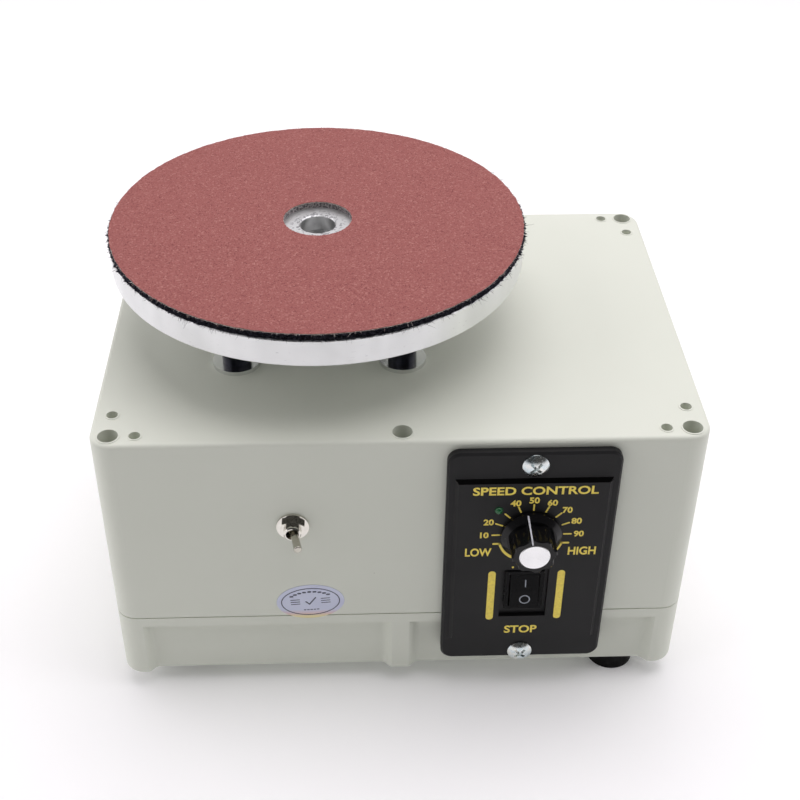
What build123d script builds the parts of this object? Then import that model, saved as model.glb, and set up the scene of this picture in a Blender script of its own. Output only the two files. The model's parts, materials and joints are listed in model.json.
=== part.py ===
from build123d import *
import os
from math import atan, atan2, cos, degrees, hypot, radians, sin

os.makedirs("parts", exist_ok=True)

# The wheel stands on z = 0 with its enclosure centred on x = y = 0 and its control panel facing -Y.

# ---- driving dimensions, millimetres ----
# Enclosure
box_length = 212.0
box_width = 156.0
box_height = 112.0
box_corner_radius = 8.0
box_wall = 3.0
box_top_thickness = 3.0
box_edge_radius = 1.5
lid_height = 30.4
lid_floor = 3.0
lid_rim_height = 4.8
lid_recess = 2.8
lid_wall = 3.0
lid_edge_radius = 1.6
seam_groove = 0.5
tongue_inset = 1.4
tongue_thickness = 1.2
tongue_depth = 2.0
seal_thickness = 1.9

# Corner and middle columns, with their wells, marks and lid screws
column_inset_x = 6.5
column_inset_y = 5.6
column_radius = 5.5
post_radius = 6.5
post_blend = 2.6
well_diameter = 7.0
well_depth = 45.0
mark_diameter = 4.0
mark_depth = 5.0
mark_boss_radius = 3.2
mark_step_x = 9.0
mark_step_y = 11.7
hole_rim_width = 0.55
hole_rim_height = 0.2
lid_screw_diameter = 4.0
lid_screw_head = 7.0
lid_screw_head_height = 2.6
lid_screw_sink = 6.0
lid_screw_length = 40.0

# Feet
foot_height = 8.0
foot_diameter = 19.5
foot_taper = 6.0
foot_inset_x = 22.0
foot_inset_y_right = 13.7
foot_inset_y_left = 22.0
foot_sink_diameter = 9.0
foot_sink_depth = 4.5
foot_screw_diameter = 4.0
foot_screw_head = 7.5
foot_screw_head_height = 2.4
foot_nut_flats = 7.0
foot_nut_height = 3.2

# Motor
spindle_x = -28.5
motor_square = 72.0
motor_corner_radius = 6.0
motor_bore = 62.0
motor_screw_pitch = 60.0
motor_screw_diameter = 6.0
motor_screw_head = 10.4
motor_screw_head_height = 6.0
motor_screw_socket = 5.0
motor_screw_length = 12.0
motor_washer_diameter = 17.4
motor_washer_thickness = 1.6
flange_thickness = 10.0
pilot_diameter = 30.0
pilot_height = 5.0
rear_cover_thickness = 10.0
motor_floor_gap = 12.0
end_boss_radius = 20.0
end_boss_height = 3.0
bearing_bottom = 2.0
bolt_pitch_x = 62.0
bolt_pitch_y = 44.0
bolt_diameter = 4.0
bolt_head = 7.0
bolt_head_height = 4.0
bolt_engagement = 7.0
stator_end_room = 11.0
stator_bore = 36.0
slot_count = 12
slot_radius = 2.6
end_turn_height = 4.5
rotor_gap = 0.3
rotor_ring_height = 4.0
rotor_ring_inset = 1.5
tacho_height = 6.0
tacho_gap = 1.0
tacho_magnet_radius = 10.0
tacho_coil_inner = 11.0
tacho_coil_outer = 17.0
tacho_cover_wall = 2.0

# Bearings, both bored to the shaft
bearing_outer = 32.0
bearing_width = 10.0
ball_radius = 2.4
ball_count = 8
race_land = 2.6
cage_width = 1.6
cage_height = 6.4

# Shaft and hub
shaft_diameter = 12.0
shaft_shoulder = 16.0
shaft_tail = 9.0
shaft_chamfer = 0.8
hub_sleeve_diameter = 26.0
hub_sleeve_gap = 4.0
hub_flange_diameter = 50.0
hub_flange_thickness = 6.0
hub_screw_circle = 38.0
hub_screw_diameter = 4.0
hub_screw_head = 7.0
hub_screw_head_height = 4.0
hub_screw_engagement = 6.0
hub_screw_count = 4
hub_screw_angle = 45.0
grub_diameter = 5.0
grub_length = 5.5

# Disc
disc_diameter = 150.0
disc_rise = 29.3
plate_thickness = 10.4
plate_boss_diameter = 24.7
plate_boss_height = 0.1
plate_bore_gap = 0.4
plate_bore_chamfer = 0.4
plate_edge_chamfer = 0.6
shaft_end_depth = 5.2
centre_hole = 25.1
pad_thickness = 2.0
abrasive_thickness = 0.6

# Control unit
panel_x = 45.1
panel_drop = 3.2
panel_width = 60.0
panel_height = 100.0
panel_thickness = 3.2
panel_corner_radius = 4.5
panel_bevel = 0.8
panel_skin = 2.0
block_width = 54.6
block_height = 78.0
block_rise = 1.5
block_slope = 1.3
block_lift = 0.2
case_width = 47.0
case_height = 70.0
case_depth = 58.0
case_wall = 2.0
panel_screw_pitch = 91.2
panel_screw_drop = 0.9
panel_screw_diameter = 4.0
panel_screw_head = 9.2
panel_screw_rim = 0.4
panel_screw_dome = 1.7
panel_screw_length = 12.0
board_thickness = 1.6
transformer_width = 22.0
transformer_height = 18.0
transformer_depth = 18.0
heat_sink_thickness = 4.0
heat_sink_height = 20.0
board_capacitor_diameter = 8.0
board_capacitor_pitch = 10.0
board_part_depth = 14.0

# Dial: potentiometer and knob
dial_x = 0.2
dial_rise = 14.4
pot_body_diameter = 17.0
pot_body_depth = 8.0
pot_floor = 1.5
pot_bushing_diameter = 7.0
pot_bushing_rise = 4.0
pot_nut_flats = 10.0
pot_nut_height = 2.0
pot_shaft_diameter = 6.0
knob_skirt_diameter = 21.5
knob_skirt_edge = 1.0
knob_skirt_height = 2.8
knob_neck_diameter = 17.6
knob_diameter = 16.0
knob_height = 11.5
knob_back_gap = 0.6
knob_flutes = 8
knob_flute_radius = 4.2
knob_flute_depth = 0.9
knob_hollow = 14.0
knob_hollow_depth = 4.4
knob_cap_diameter = 10.8
knob_cap_thickness = 1.0
knob_cap_rise = 0.35
knob_cap_chamfer = 0.25
knob_rest_angle = 10.0
led_diameter = 3.0
led_circle = 16.6
led_angle = 136.0
led_rise = 1.2
led_dome_flat = 0.1
led_length = 8.0
led_lead_diameter = 0.6
led_lead_pitch = 1.5

# Rocker switch
rocker_x = -0.6
rocker_drop = 12.6
rocker_pocket_width = 17.2
rocker_pocket_height = 23.7
rocker_pocket_drop = 2.0
bezel_width = 14.2
bezel_height = 19.4
bezel_thickness = 2.0
bezel_corner_radius = 0.6
rocker_body_width = 12.6
rocker_body_height = 18.4
rocker_body_depth = 13.0
paddle_width = 10.4
paddle_length = 14.7
paddle_gap = 0.35
paddle_rise = 0.6
paddle_crown = 0.3
paddle_angle = 6.0
paddle_pivot_depth = 1.4
paddle_skirt = 1.0
paddle_stub_depth = 3.2
paddle_stub_half_width = 2.4
rocker_tab_pitch = 7.0
rocker_tab_width = 4.8
rocker_tab_length = 6.0

# Toggle switch
toggle_x = -38.5
toggle_drop = 37.0
toggle_bushing_diameter = 6.2
toggle_bore = 4.6
toggle_back_bore = 5.3
toggle_bushing_rise = 4.7
toggle_washer_diameter = 11.5
toggle_washer_thickness = 0.8
toggle_nut_flats = 8.0
toggle_nut_height = 1.8
toggle_nut_turn = 23.0
toggle_body_size = 13.0
toggle_body_depth = 9.0
toggle_cavity = 8.0
toggle_floor = 1.5
toggle_flange = 1.0
toggle_pivot_depth = 3.5
toggle_angle = 11.0
toggle_lever_reach = 8.0
toggle_tip_diameter = 2.9
toggle_root_diameter = 2.5
toggle_ball_diameter = 4.3
toggle_tail = 8.0
toggle_tip_radius = 0.5
toggle_pin_pitch_x = 4.7
toggle_pin_pitch_z = 5.0
toggle_pin_width = 2.0
toggle_pin_length = 4.0

# Cable gland, capacitor and terminal block
gland_x = 20.0
gland_z = 58.0
gland_thread = 15.2
gland_flats = 19.0
gland_flange_height = 5.0
gland_nut_flats = 21.0
gland_nut_height = 5.0
gland_thread_end = 2.0
gland_cap_length = 11.0
gland_cap_hex_length = 6.6
gland_cap_radius = 3.0
gland_collet_drop = 4.0
gland_seal_drop = 3.0
gland_cap_opening = 9.6
gland_collet_diameter = 12.4
gland_seal_diameter = 10.0
gland_seal_bore = 6.5
capacitor_x = 62.0
capacitor_drop = 35.0
capacitor_diameter = 30.0
capacitor_length = 46.0
capacitor_edge_radius = 1.5
capacitor_tab_pitch = 10.0
capacitor_tab_width = 6.3
capacitor_tab_length = 8.0
clamp_thickness = 1.2
clamp_height = 12.0
clamp_screw_offset = 20.0
clamp_ear = 5.0
boss_radius = 4.0
boss_rise = 5.0
small_screw_diameter = 3.0
small_screw_head = 5.6
small_screw_head_height = 2.0
small_screw_length = 7.0
terminal_x = 52.0
terminal_y = 16.0
terminal_length = 36.0
terminal_width = 20.0
terminal_height = 15.0
terminal_ways = 3
terminal_way_diameter = 4.4

# Inspection sticker
sticker_x = -33.4
sticker_rise = 7.0
sticker_width = 25.0
sticker_height = 17.0
sticker_thickness = 0.12
sticker_turn = 4.0

# Shared details
recess_share = 0.55
recess_width = 1.0
recess_depth = 1.3
small_chamfer = 0.4
tab_thickness = 0.8
end_allowance = 1.0

# Clearances
seat_gap = 0.02
thread_gap = 0.05
hole_gap = 0.2
case_gap = 0.5
running_gap = 0.5
board_gap = 0.15
ball_gap = 0.12
pivot_gap = 0.05

# ---- places worked out from the dimensions ----
lid_bottom_z = foot_height
floor_z = lid_bottom_z + lid_floor
seam_z = lid_bottom_z + lid_height
top_z = lid_bottom_z + box_height
ceiling_z = top_z - box_top_thickness
front_y = -box_width / 2
back_y = box_width / 2
inner_back_y = back_y - box_wall

column_x = box_length / 2 - column_inset_x
column_y = box_width / 2 - column_inset_y
corner_columns = [(sx * column_x, sy * column_y) for sx in (-1, 1) for sy in (-1, 1)]
columns = corner_columns + [(0, -column_y), (0, column_y)]
marks = [(sx * (column_x - mark_step_x), sy * column_y) for sx in (-1, 1) for sy in (-1, 1)]
marks += [(sx * column_x, sy * (column_y - mark_step_y)) for sx in (-1, 1) for sy in (-1, 1)]

foot_x = box_length / 2 - foot_inset_x
feet = [(foot_x, sy * (box_width / 2 - foot_inset_y_right)) for sy in (-1, 1)]
feet += [(-foot_x, sy * (box_width / 2 - foot_inset_y_left)) for sy in (-1, 1)]

flange_z = ceiling_z - flange_thickness
tacho_cup_depth = shaft_tail + tacho_gap + tacho_cover_wall
rear_cover_z = floor_z + motor_floor_gap + tacho_cup_depth
housing_z = rear_cover_z + rear_cover_thickness
housing_length = flange_z - housing_z
stator_length = housing_length - 2 * stator_end_room
front_bearing_z = flange_z - end_boss_height
rear_bearing_z = rear_cover_z + bearing_bottom
rear_pocket_top_z = rear_bearing_z + bearing_width
stator_z = housing_z + stator_end_room
bolt_points = [(spindle_x + sx * bolt_pitch_x / 2, sy * bolt_pitch_y / 2)
               for sx in (-1, 1) for sy in (-1, 1)]
motor_screw_points = [(spindle_x + sx * motor_screw_pitch / 2, sy * motor_screw_pitch / 2)
                      for sx in (-1, 1) for sy in (-1, 1)]

bearing_bore = shaft_diameter
plate_bore = shaft_diameter + 2 * plate_bore_gap
plate_z = top_z + disc_rise
plate_top_z = plate_z + plate_thickness
boss_top_z = plate_top_z + plate_boss_height
pad_top_z = plate_top_z + pad_thickness
shaft_top_z = boss_top_z - shaft_end_depth
hub_flange_z = plate_z - hub_flange_thickness
hub_sleeve_z = top_z + pilot_height - box_top_thickness + hub_sleeve_gap
grub_z = (hub_sleeve_z + hub_flange_z) / 2

panel_z = top_z - panel_drop - panel_height / 2
plate_face_y = front_y - panel_thickness
block_face_y = plate_face_y - block_rise
pocket_y = block_face_y + panel_skin
case_back_y = pocket_y + case_depth
dial_z = panel_z + dial_rise
knob_back_y = block_face_y - knob_back_gap
knob_face_y = block_face_y - knob_height
rocker_z = panel_z - rocker_drop
capacitor_z = ceiling_z - capacitor_drop
toggle_z = top_z - toggle_drop
toggle_end_y = front_y - toggle_bushing_rise
toggle_pivot_y = toggle_end_y + toggle_pivot_depth
panel_screw_heights = [panel_z - panel_screw_drop + side * panel_screw_pitch / 2 for side in (-1, 1)]


def facing_front(x, y, z):
    """Sketch plane whose normal points out of the front, -Y, with x to the right and y up."""
    return Plane(origin=(x, y, z), x_dir=(1, 0, 0), z_dir=(0, -1, 0))


def facing_back(x, y, z):
    """Sketch plane whose normal points out of the back, +Y, with y up."""
    return Plane(origin=(x, y, z), x_dir=(-1, 0, 0), z_dir=(0, 1, 0))


def level(z, x=0.0, y=0.0):
    """Horizontal sketch plane at height z, centred over x, y."""
    return Plane(origin=(x, y, z))


def cross_recess(head, rotation=0.0):
    """Cross recess of a screw head, drawn in the sketch that is open."""
    Rectangle(head * recess_share, recess_width, rotation=rotation)
    Rectangle(recess_width, head * recess_share, rotation=rotation)


def finish(part, name):
    """Label one finished piece and write its STEP file."""
    part.label = name
    export_step(part, f"parts/{name}.step")


# ---- enclosure body: one moulded shell, open below, with six screw columns ----
with BuildPart() as enclosure_body:
    with BuildSketch(level(seam_z)):
        RectangleRounded(box_length, box_width, box_corner_radius)
    extrude(amount=top_z - seam_z)
    fillet(enclosure_body.faces().sort_by(Axis.Z)[-1].edges(), box_edge_radius)
    with BuildSketch(level(seam_z)):
        RectangleRounded(box_length - 2 * box_wall, box_width - 2 * box_wall,
                         box_corner_radius - box_wall)
    extrude(amount=ceiling_z - seam_z, mode=Mode.SUBTRACT)
    with BuildSketch(level(seam_z)):
        with Locations(*columns):
            Circle(column_radius)
        RectangleRounded(box_length - box_wall, box_width - box_wall,
                         box_corner_radius - box_wall / 2, mode=Mode.INTERSECT)
    extrude(amount=ceiling_z - seam_z)
    with BuildSketch(level(top_z - mark_depth - box_top_thickness)):
        with Locations(*marks):
            Circle(mark_boss_radius)
    extrude(amount=mark_depth)
    # tongue that drops into the groove of the lid
    with BuildSketch(level(seam_z - tongue_depth)):
        RectangleRounded(box_length - 2 * tongue_inset, box_width - 2 * tongue_inset,
                         box_corner_radius - tongue_inset)
        inner_inset = tongue_inset + tongue_thickness
        RectangleRounded(box_length - 2 * inner_inset, box_width - 2 * inner_inset,
                         box_corner_radius - inner_inset, mode=Mode.SUBTRACT)
    extrude(amount=tongue_depth)
    # raised rims round the wells and marks
    with BuildSketch(level(top_z)):
        with Locations(*columns):
            Circle(well_diameter / 2 + hole_rim_width)
        with Locations(*marks):
            Circle(mark_diameter / 2 + hole_rim_width)
    extrude(amount=hole_rim_height)
    rim_top = level(top_z + hole_rim_height)
    with BuildSketch(rim_top):
        with Locations(*columns):
            Circle(well_diameter / 2)
    extrude(amount=-well_depth, mode=Mode.SUBTRACT)
    with BuildSketch(rim_top):
        with Locations(*marks):
            Circle(mark_diameter / 2)
    extrude(amount=-mark_depth, mode=Mode.SUBTRACT)
    # pilot holes for the lid screws
    with BuildSketch(level(seam_z - tongue_depth)):
        with Locations(*columns):
            Circle(lid_screw_diameter / 2 + thread_gap)
    lid_screw_reach = lid_screw_length + lid_screw_sink - lid_height
    extrude(amount=tongue_depth + lid_screw_reach + end_allowance, mode=Mode.SUBTRACT)
    # motor screw holes and the opening for the motor's pilot
    with BuildSketch(level(ceiling_z)):
        with Locations(*motor_screw_points):
            Circle(motor_screw_diameter / 2 + hole_gap)
        with Locations((spindle_x, 0)):
            Circle(pilot_diameter / 2 + hole_gap)
    extrude(amount=box_top_thickness, mode=Mode.SUBTRACT)
    # front wall: control unit cut-out, upper panel screw, toggle switch
    with BuildSketch(facing_front(panel_x, front_y, panel_z)):
        Rectangle(case_width + 2 * case_gap, case_height + 2 * case_gap)
        with Locations((0, panel_screw_pitch / 2 - panel_screw_drop)):
            Circle(panel_screw_diameter / 2 + thread_gap)
        with Locations((toggle_x - panel_x, toggle_z - panel_z)):
            Circle(toggle_bushing_diameter / 2 + hole_gap)
    extrude(amount=-box_wall, mode=Mode.SUBTRACT)
    # back wall: gland hole, and bosses for the capacitor clamp
    with BuildSketch(facing_back(gland_x, inner_back_y, gland_z)):
        Circle(gland_thread / 2 + hole_gap)
    extrude(amount=box_wall, mode=Mode.SUBTRACT)
    with BuildSketch(facing_back(capacitor_x, inner_back_y - boss_rise, capacitor_z)):
        with GridLocations(2 * clamp_screw_offset, 0, 2, 1):
            Circle(boss_radius)
    extrude(amount=boss_rise)
    with BuildSketch(facing_back(capacitor_x, inner_back_y - boss_rise, capacitor_z)):
        with GridLocations(2 * clamp_screw_offset, 0, 2, 1):
            Circle(small_screw_diameter / 2 + thread_gap)
    extrude(amount=small_screw_length, mode=Mode.SUBTRACT)
finish(enclosure_body.part, "enclosure_body")

# ---- lid: moulded tray that closes the enclosure from below ----
groove_inset = tongue_inset - hole_gap
groove_width = tongue_thickness + 2 * hole_gap
groove_depth = tongue_depth + seal_thickness + hole_gap
with BuildPart() as enclosure_lid:
    with BuildSketch(level(lid_bottom_z)):
        RectangleRounded(box_length, box_width, box_corner_radius)
    extrude(amount=lid_height)
    # side panels set back between the corner posts and the middle bosses
    with BuildSketch(level(lid_bottom_z)) as recess_outline:
        Rectangle(box_length + 2 * post_radius, box_width + 2 * post_radius)
        RectangleRounded(box_length - 2 * lid_recess, box_width - 2 * lid_recess,
                         box_corner_radius - lid_recess, mode=Mode.SUBTRACT)
        with Locations(*columns):
            Circle(post_radius, mode=Mode.SUBTRACT)
        inner_vertices = [v for v in recess_outline.vertices()
                          if abs(v.X) < box_length / 2 and abs(v.Y) < box_width / 2]
        fillet(inner_vertices, post_blend)
    extrude(amount=lid_height - lid_rim_height, mode=Mode.SUBTRACT)
    fillet(enclosure_lid.faces().sort_by(Axis.Z)[0].edges(), lid_edge_radius)
    # hollow inside, leaving the posts
    with BuildSketch(level(floor_z)):
        inner_inset = lid_recess + lid_wall
        RectangleRounded(box_length - 2 * inner_inset, box_width - 2 * inner_inset,
                         box_corner_radius - lid_recess)
        with Locations(*columns):
            Circle(post_radius, mode=Mode.SUBTRACT)
    extrude(amount=seam_z - floor_z, mode=Mode.SUBTRACT)
    # seal groove, and the step that shows as the seam line
    with BuildSketch(level(seam_z)):
        RectangleRounded(box_length - 2 * groove_inset, box_width - 2 * groove_inset,
                         box_corner_radius - groove_inset)
        inner_inset = groove_inset + groove_width
        RectangleRounded(box_length - 2 * inner_inset, box_width - 2 * inner_inset,
                         box_corner_radius - inner_inset, mode=Mode.SUBTRACT)
    extrude(amount=-groove_depth, mode=Mode.SUBTRACT)
    with BuildSketch(level(seam_z)):
        Rectangle(box_length + 2 * seam_groove, box_width + 2 * seam_groove)
        RectangleRounded(box_length - 2 * seam_groove, box_width - 2 * seam_groove,
                         box_corner_radius - seam_groove, mode=Mode.SUBTRACT)
    extrude(amount=-seam_groove, mode=Mode.SUBTRACT)
    # lid screw holes and their sunk heads
    with BuildSketch(level(lid_bottom_z)):
        with Locations(*columns):
            Circle(lid_screw_diameter / 2 + hole_gap)
    extrude(amount=lid_height, mode=Mode.SUBTRACT)
    with BuildSketch(level(lid_bottom_z)):
        with Locations(*columns):
            Circle(lid_screw_head / 2 + hole_gap)
    extrude(amount=lid_screw_sink, mode=Mode.SUBTRACT)
    # foot screw holes
    with BuildSketch(level(lid_bottom_z)):
        with Locations(*feet):
            Circle(foot_screw_diameter / 2 + hole_gap)
    extrude(amount=lid_floor, mode=Mode.SUBTRACT)
    # front wall: lower part of the control unit's cut-out, and the lower panel screw
    with BuildSketch(facing_front(panel_x, front_y, panel_z)):
        Rectangle(case_width + 2 * case_gap, case_height + 2 * case_gap)
        with Locations((0, -panel_screw_pitch / 2 - panel_screw_drop)):
            Circle(panel_screw_diameter / 2 + thread_gap)
    extrude(amount=-(lid_recess + lid_wall), mode=Mode.SUBTRACT)
    # bosses for the terminal block
    with BuildSketch(level(floor_z, terminal_x, terminal_y)):
        with GridLocations(terminal_length - 2 * boss_radius, 0, 2, 1):
            Circle(boss_radius)
    extrude(amount=boss_rise)
    with BuildSketch(level(floor_z + boss_rise, terminal_x, terminal_y)):
        with GridLocations(terminal_length - 2 * boss_radius, 0, 2, 1):
            Circle(small_screw_diameter / 2 + thread_gap)
    extrude(amount=-boss_rise, mode=Mode.SUBTRACT)
finish(enclosure_lid.part, "enclosure_lid")

# ---- lid seal: rubber cord in the groove, interrupted by the control unit ----
with BuildPart() as lid_seal:
    with BuildSketch(level(seam_z - groove_depth)):
        outer_inset = groove_inset + thread_gap
        RectangleRounded(box_length - 2 * outer_inset, box_width - 2 * outer_inset,
                         box_corner_radius - outer_inset)
        inner_inset = groove_inset + groove_width - thread_gap
        RectangleRounded(box_length - 2 * inner_inset, box_width - 2 * inner_inset,
                         box_corner_radius - inner_inset, mode=Mode.SUBTRACT)
    extrude(amount=seal_thickness)
    with BuildSketch(facing_front(panel_x, front_y, seam_z)):
        Rectangle(case_width + 2 * case_gap, 2 * groove_depth + seal_thickness)
    extrude(amount=-(lid_recess + lid_wall), mode=Mode.SUBTRACT)
finish(lid_seal.part, "lid_seal")

# ---- lid screws: pan heads sunk in the posts, driven up into the columns ----
lid_screw_seat_z = lid_bottom_z + lid_screw_sink
with BuildPart() as lid_screws:
    with BuildSketch(level(lid_screw_seat_z)):
        with Locations(*columns):
            Circle(lid_screw_diameter / 2)
    extrude(amount=lid_screw_length)
    with BuildSketch(level(lid_screw_seat_z)):
        with Locations(*columns):
            Circle(lid_screw_head / 2)
    extrude(amount=-lid_screw_head_height)
    with BuildSketch(level(lid_screw_seat_z - lid_screw_head_height)):
        with Locations(*columns):
            cross_recess(lid_screw_head)
    extrude(amount=recess_depth, mode=Mode.SUBTRACT)
finish(lid_screws.part, "lid_screws")

# ---- feet: four tapered rubber discs, each with a screw and a nut ----
with BuildPart() as rubber_feet:
    with BuildSketch(level(lid_bottom_z)):
        with Locations(*feet):
            Circle(foot_diameter / 2)
    extrude(amount=-foot_height, taper=foot_taper)
    with BuildSketch(level(0)):
        with Locations(*feet):
            Circle(foot_sink_diameter / 2)
    extrude(amount=foot_sink_depth, mode=Mode.SUBTRACT)
    with BuildSketch(level(0)):
        with Locations(*feet):
            Circle(foot_screw_diameter / 2 + thread_gap)
    extrude(amount=foot_height, mode=Mode.SUBTRACT)
finish(rubber_feet.part, "rubber_feet")

foot_screw_length = foot_height - foot_sink_depth + lid_floor + foot_nut_height + end_allowance
with BuildPart() as foot_screws:
    with BuildSketch(level(foot_sink_depth)):
        with Locations(*feet):
            Circle(foot_screw_diameter / 2)
    extrude(amount=foot_screw_length)
    with BuildSketch(level(foot_sink_depth)):
        with Locations(*feet):
            Circle(foot_screw_head / 2)
    extrude(amount=-foot_screw_head_height)
    with BuildSketch(level(foot_sink_depth - foot_screw_head_height)):
        with Locations(*feet):
            cross_recess(foot_screw_head)
    extrude(amount=recess_depth, mode=Mode.SUBTRACT)
finish(foot_screws.part, "foot_screws")

with BuildPart() as foot_nuts:
    with BuildSketch(level(floor_z)):
        with Locations(*feet):
            RegularPolygon(foot_nut_flats / 2, 6, major_radius=False)
            Circle(foot_screw_diameter / 2 + thread_gap, mode=Mode.SUBTRACT)
    extrude(amount=foot_nut_height)
finish(foot_nuts.part, "foot_nuts")

# ---- motor fixings: socket screws on wide washers, through the box top into the motor ----
washer_top_z = top_z + motor_washer_thickness
with BuildPart() as motor_washers:
    with BuildSketch(level(top_z)):
        with Locations(*motor_screw_points):
            Circle(motor_washer_diameter / 2)
            Circle(motor_screw_diameter / 2 + hole_gap, mode=Mode.SUBTRACT)
    extrude(amount=motor_washer_thickness)
finish(motor_washers.part, "motor_washers")

with BuildPart() as motor_screws:
    with BuildSketch(level(washer_top_z)):
        with Locations(*motor_screw_points):
            Circle(motor_screw_head / 2)
    extrude(amount=motor_screw_head_height)
    chamfer(motor_screws.faces().filter_by(Axis.Z).group_by(Axis.Z)[-1].edges(), small_chamfer)
    with BuildSketch(level(washer_top_z + motor_screw_head_height)):
        with Locations(*motor_screw_points):
            RegularPolygon(motor_screw_socket / 2, 6, major_radius=False)
    extrude(amount=-motor_screw_head_height / 2, mode=Mode.SUBTRACT)
    with BuildSketch(level(washer_top_z)):
        with Locations(*motor_screw_points):
            Circle(motor_screw_diameter / 2)
    extrude(amount=-motor_screw_length)
finish(motor_screws.part, "motor_screws")

# ---- motor end shields, housing and through bolts ----
bearing_seat = bearing_outer / 2 + seat_gap
shaft_opening = shaft_diameter / 2 + running_gap
with BuildPart() as motor_front_flange:
    with BuildSketch(level(flange_z, spindle_x)):
        RectangleRounded(motor_square, motor_square, motor_corner_radius)
    extrude(amount=flange_thickness)
    with BuildSketch(level(ceiling_z, spindle_x)):
        Circle(pilot_diameter / 2)
    extrude(amount=pilot_height)
    with BuildSketch(level(flange_z, spindle_x)):
        Circle(end_boss_radius)
    extrude(amount=-end_boss_height)
    with BuildSketch(level(front_bearing_z, spindle_x)):
        Circle(bearing_seat)
    extrude(amount=bearing_width, mode=Mode.SUBTRACT)
    with BuildSketch(level(front_bearing_z, spindle_x)):
        Circle(shaft_opening)
    extrude(amount=ceiling_z + pilot_height - front_bearing_z, mode=Mode.SUBTRACT)
    with BuildSketch(level(ceiling_z)):
        with Locations(*motor_screw_points):
            Circle(motor_screw_diameter / 2 + thread_gap)
    extrude(amount=-(flange_thickness - end_allowance), mode=Mode.SUBTRACT)
    with BuildSketch(level(flange_z)):
        with Locations(*bolt_points):
            Circle(bolt_diameter / 2 + thread_gap)
    extrude(amount=bolt_engagement + end_allowance, mode=Mode.SUBTRACT)
finish(motor_front_flange.part, "motor_front_flange")

with BuildPart() as motor_housing:
    with BuildSketch(level(housing_z, spindle_x)):
        RectangleRounded(motor_square, motor_square, motor_corner_radius)
        Circle(motor_bore / 2, mode=Mode.SUBTRACT)
    extrude(amount=housing_length)
    with BuildSketch(level(housing_z)):
        with Locations(*bolt_points):
            Circle(bolt_diameter / 2 + hole_gap)
    extrude(amount=housing_length, mode=Mode.SUBTRACT)
finish(motor_housing.part, "motor_housing")

with BuildPart() as motor_rear_cover:
    with BuildSketch(level(rear_cover_z, spindle_x)):
        RectangleRounded(motor_square, motor_square, motor_corner_radius)
    extrude(amount=rear_cover_thickness)
    with BuildSketch(level(housing_z, spindle_x)):
        Circle(end_boss_radius)
    extrude(amount=rear_pocket_top_z - housing_z)
    with BuildSketch(level(rear_bearing_z, spindle_x)):
        Circle(bearing_seat)
    extrude(amount=bearing_width, mode=Mode.SUBTRACT)
    with BuildSketch(level(rear_cover_z, spindle_x)):
        Circle(shaft_opening)
    extrude(amount=bearing_bottom, mode=Mode.SUBTRACT)
    with BuildSketch(level(rear_cover_z)):
        with Locations(*bolt_points):
            Circle(bolt_diameter / 2 + hole_gap)
    extrude(amount=rear_cover_thickness, mode=Mode.SUBTRACT)
finish(motor_rear_cover.part, "motor_rear_cover")

with BuildPart() as motor_through_bolts:
    with BuildSketch(level(rear_cover_z)):
        with Locations(*bolt_points):
            Circle(bolt_diameter / 2)
    extrude(amount=flange_z + bolt_engagement - rear_cover_z)
    with BuildSketch(level(rear_cover_z)):
        with Locations(*bolt_points):
            Circle(bolt_head / 2)
    extrude(amount=-bolt_head_height)
finish(motor_through_bolts.part, "motor_through_bolts")

# ---- stator and rotor ----
slot_circle = (stator_bore / 2 + motor_bore / 2) / 2 - slot_radius
with BuildPart() as stator_core:
    with BuildSketch(level(stator_z, spindle_x)):
        Circle(motor_bore / 2 - seat_gap)
        Circle(stator_bore / 2, mode=Mode.SUBTRACT)
        with PolarLocations(slot_circle, slot_count):
            Circle(slot_radius, mode=Mode.SUBTRACT)
    extrude(amount=stator_length)
finish(stator_core.part, "stator_core")

with BuildPart() as stator_windings:
    with BuildSketch(level(stator_z, spindle_x)):
        with PolarLocations(slot_circle, slot_count):
            Circle(slot_radius - thread_gap)
    extrude(amount=stator_length)
    for end_z in (stator_z - end_turn_height, stator_z + stator_length):
        with BuildSketch(level(end_z, spindle_x)):
            Circle(slot_circle + 2 * slot_radius)
            Circle(slot_circle - slot_radius, mode=Mode.SUBTRACT)
        extrude(amount=end_turn_height)
finish(stator_windings.part, "stator_windings")

rotor_radius = stator_bore / 2 - rotor_gap
with BuildPart() as rotor_core:
    with BuildSketch(level(stator_z, spindle_x)):
        Circle(rotor_radius)
    extrude(amount=stator_length)
    with BuildSketch(level(stator_z - rotor_ring_height, spindle_x)):
        Circle(rotor_radius - rotor_ring_inset)
    extrude(amount=stator_length + 2 * rotor_ring_height)
    with BuildSketch(level(stator_z - rotor_ring_height, spindle_x)):
        Circle(shaft_shoulder / 2 + seat_gap)
    extrude(amount=stator_length + 2 * rotor_ring_height, mode=Mode.SUBTRACT)
finish(rotor_core.part, "rotor_core")

# ---- bearings: races, balls and cages at both ends of the motor ----
bearing_levels = (front_bearing_z, rear_bearing_z)
ball_circle = (bearing_bore + bearing_outer) / 4
inner_race_radius = bearing_bore / 2 + race_land
outer_race_radius = bearing_outer / 2 - race_land
with BuildPart() as bearing_outer_races:
    for z in bearing_levels:
        with BuildSketch(level(z, spindle_x)):
            Circle(bearing_outer / 2)
            Circle(outer_race_radius, mode=Mode.SUBTRACT)
        extrude(amount=bearing_width)
        with Locations((spindle_x, 0, z + bearing_width / 2)):
            Torus(ball_circle, ball_radius + ball_gap, mode=Mode.SUBTRACT)
finish(bearing_outer_races.part, "bearing_outer_races")

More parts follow.
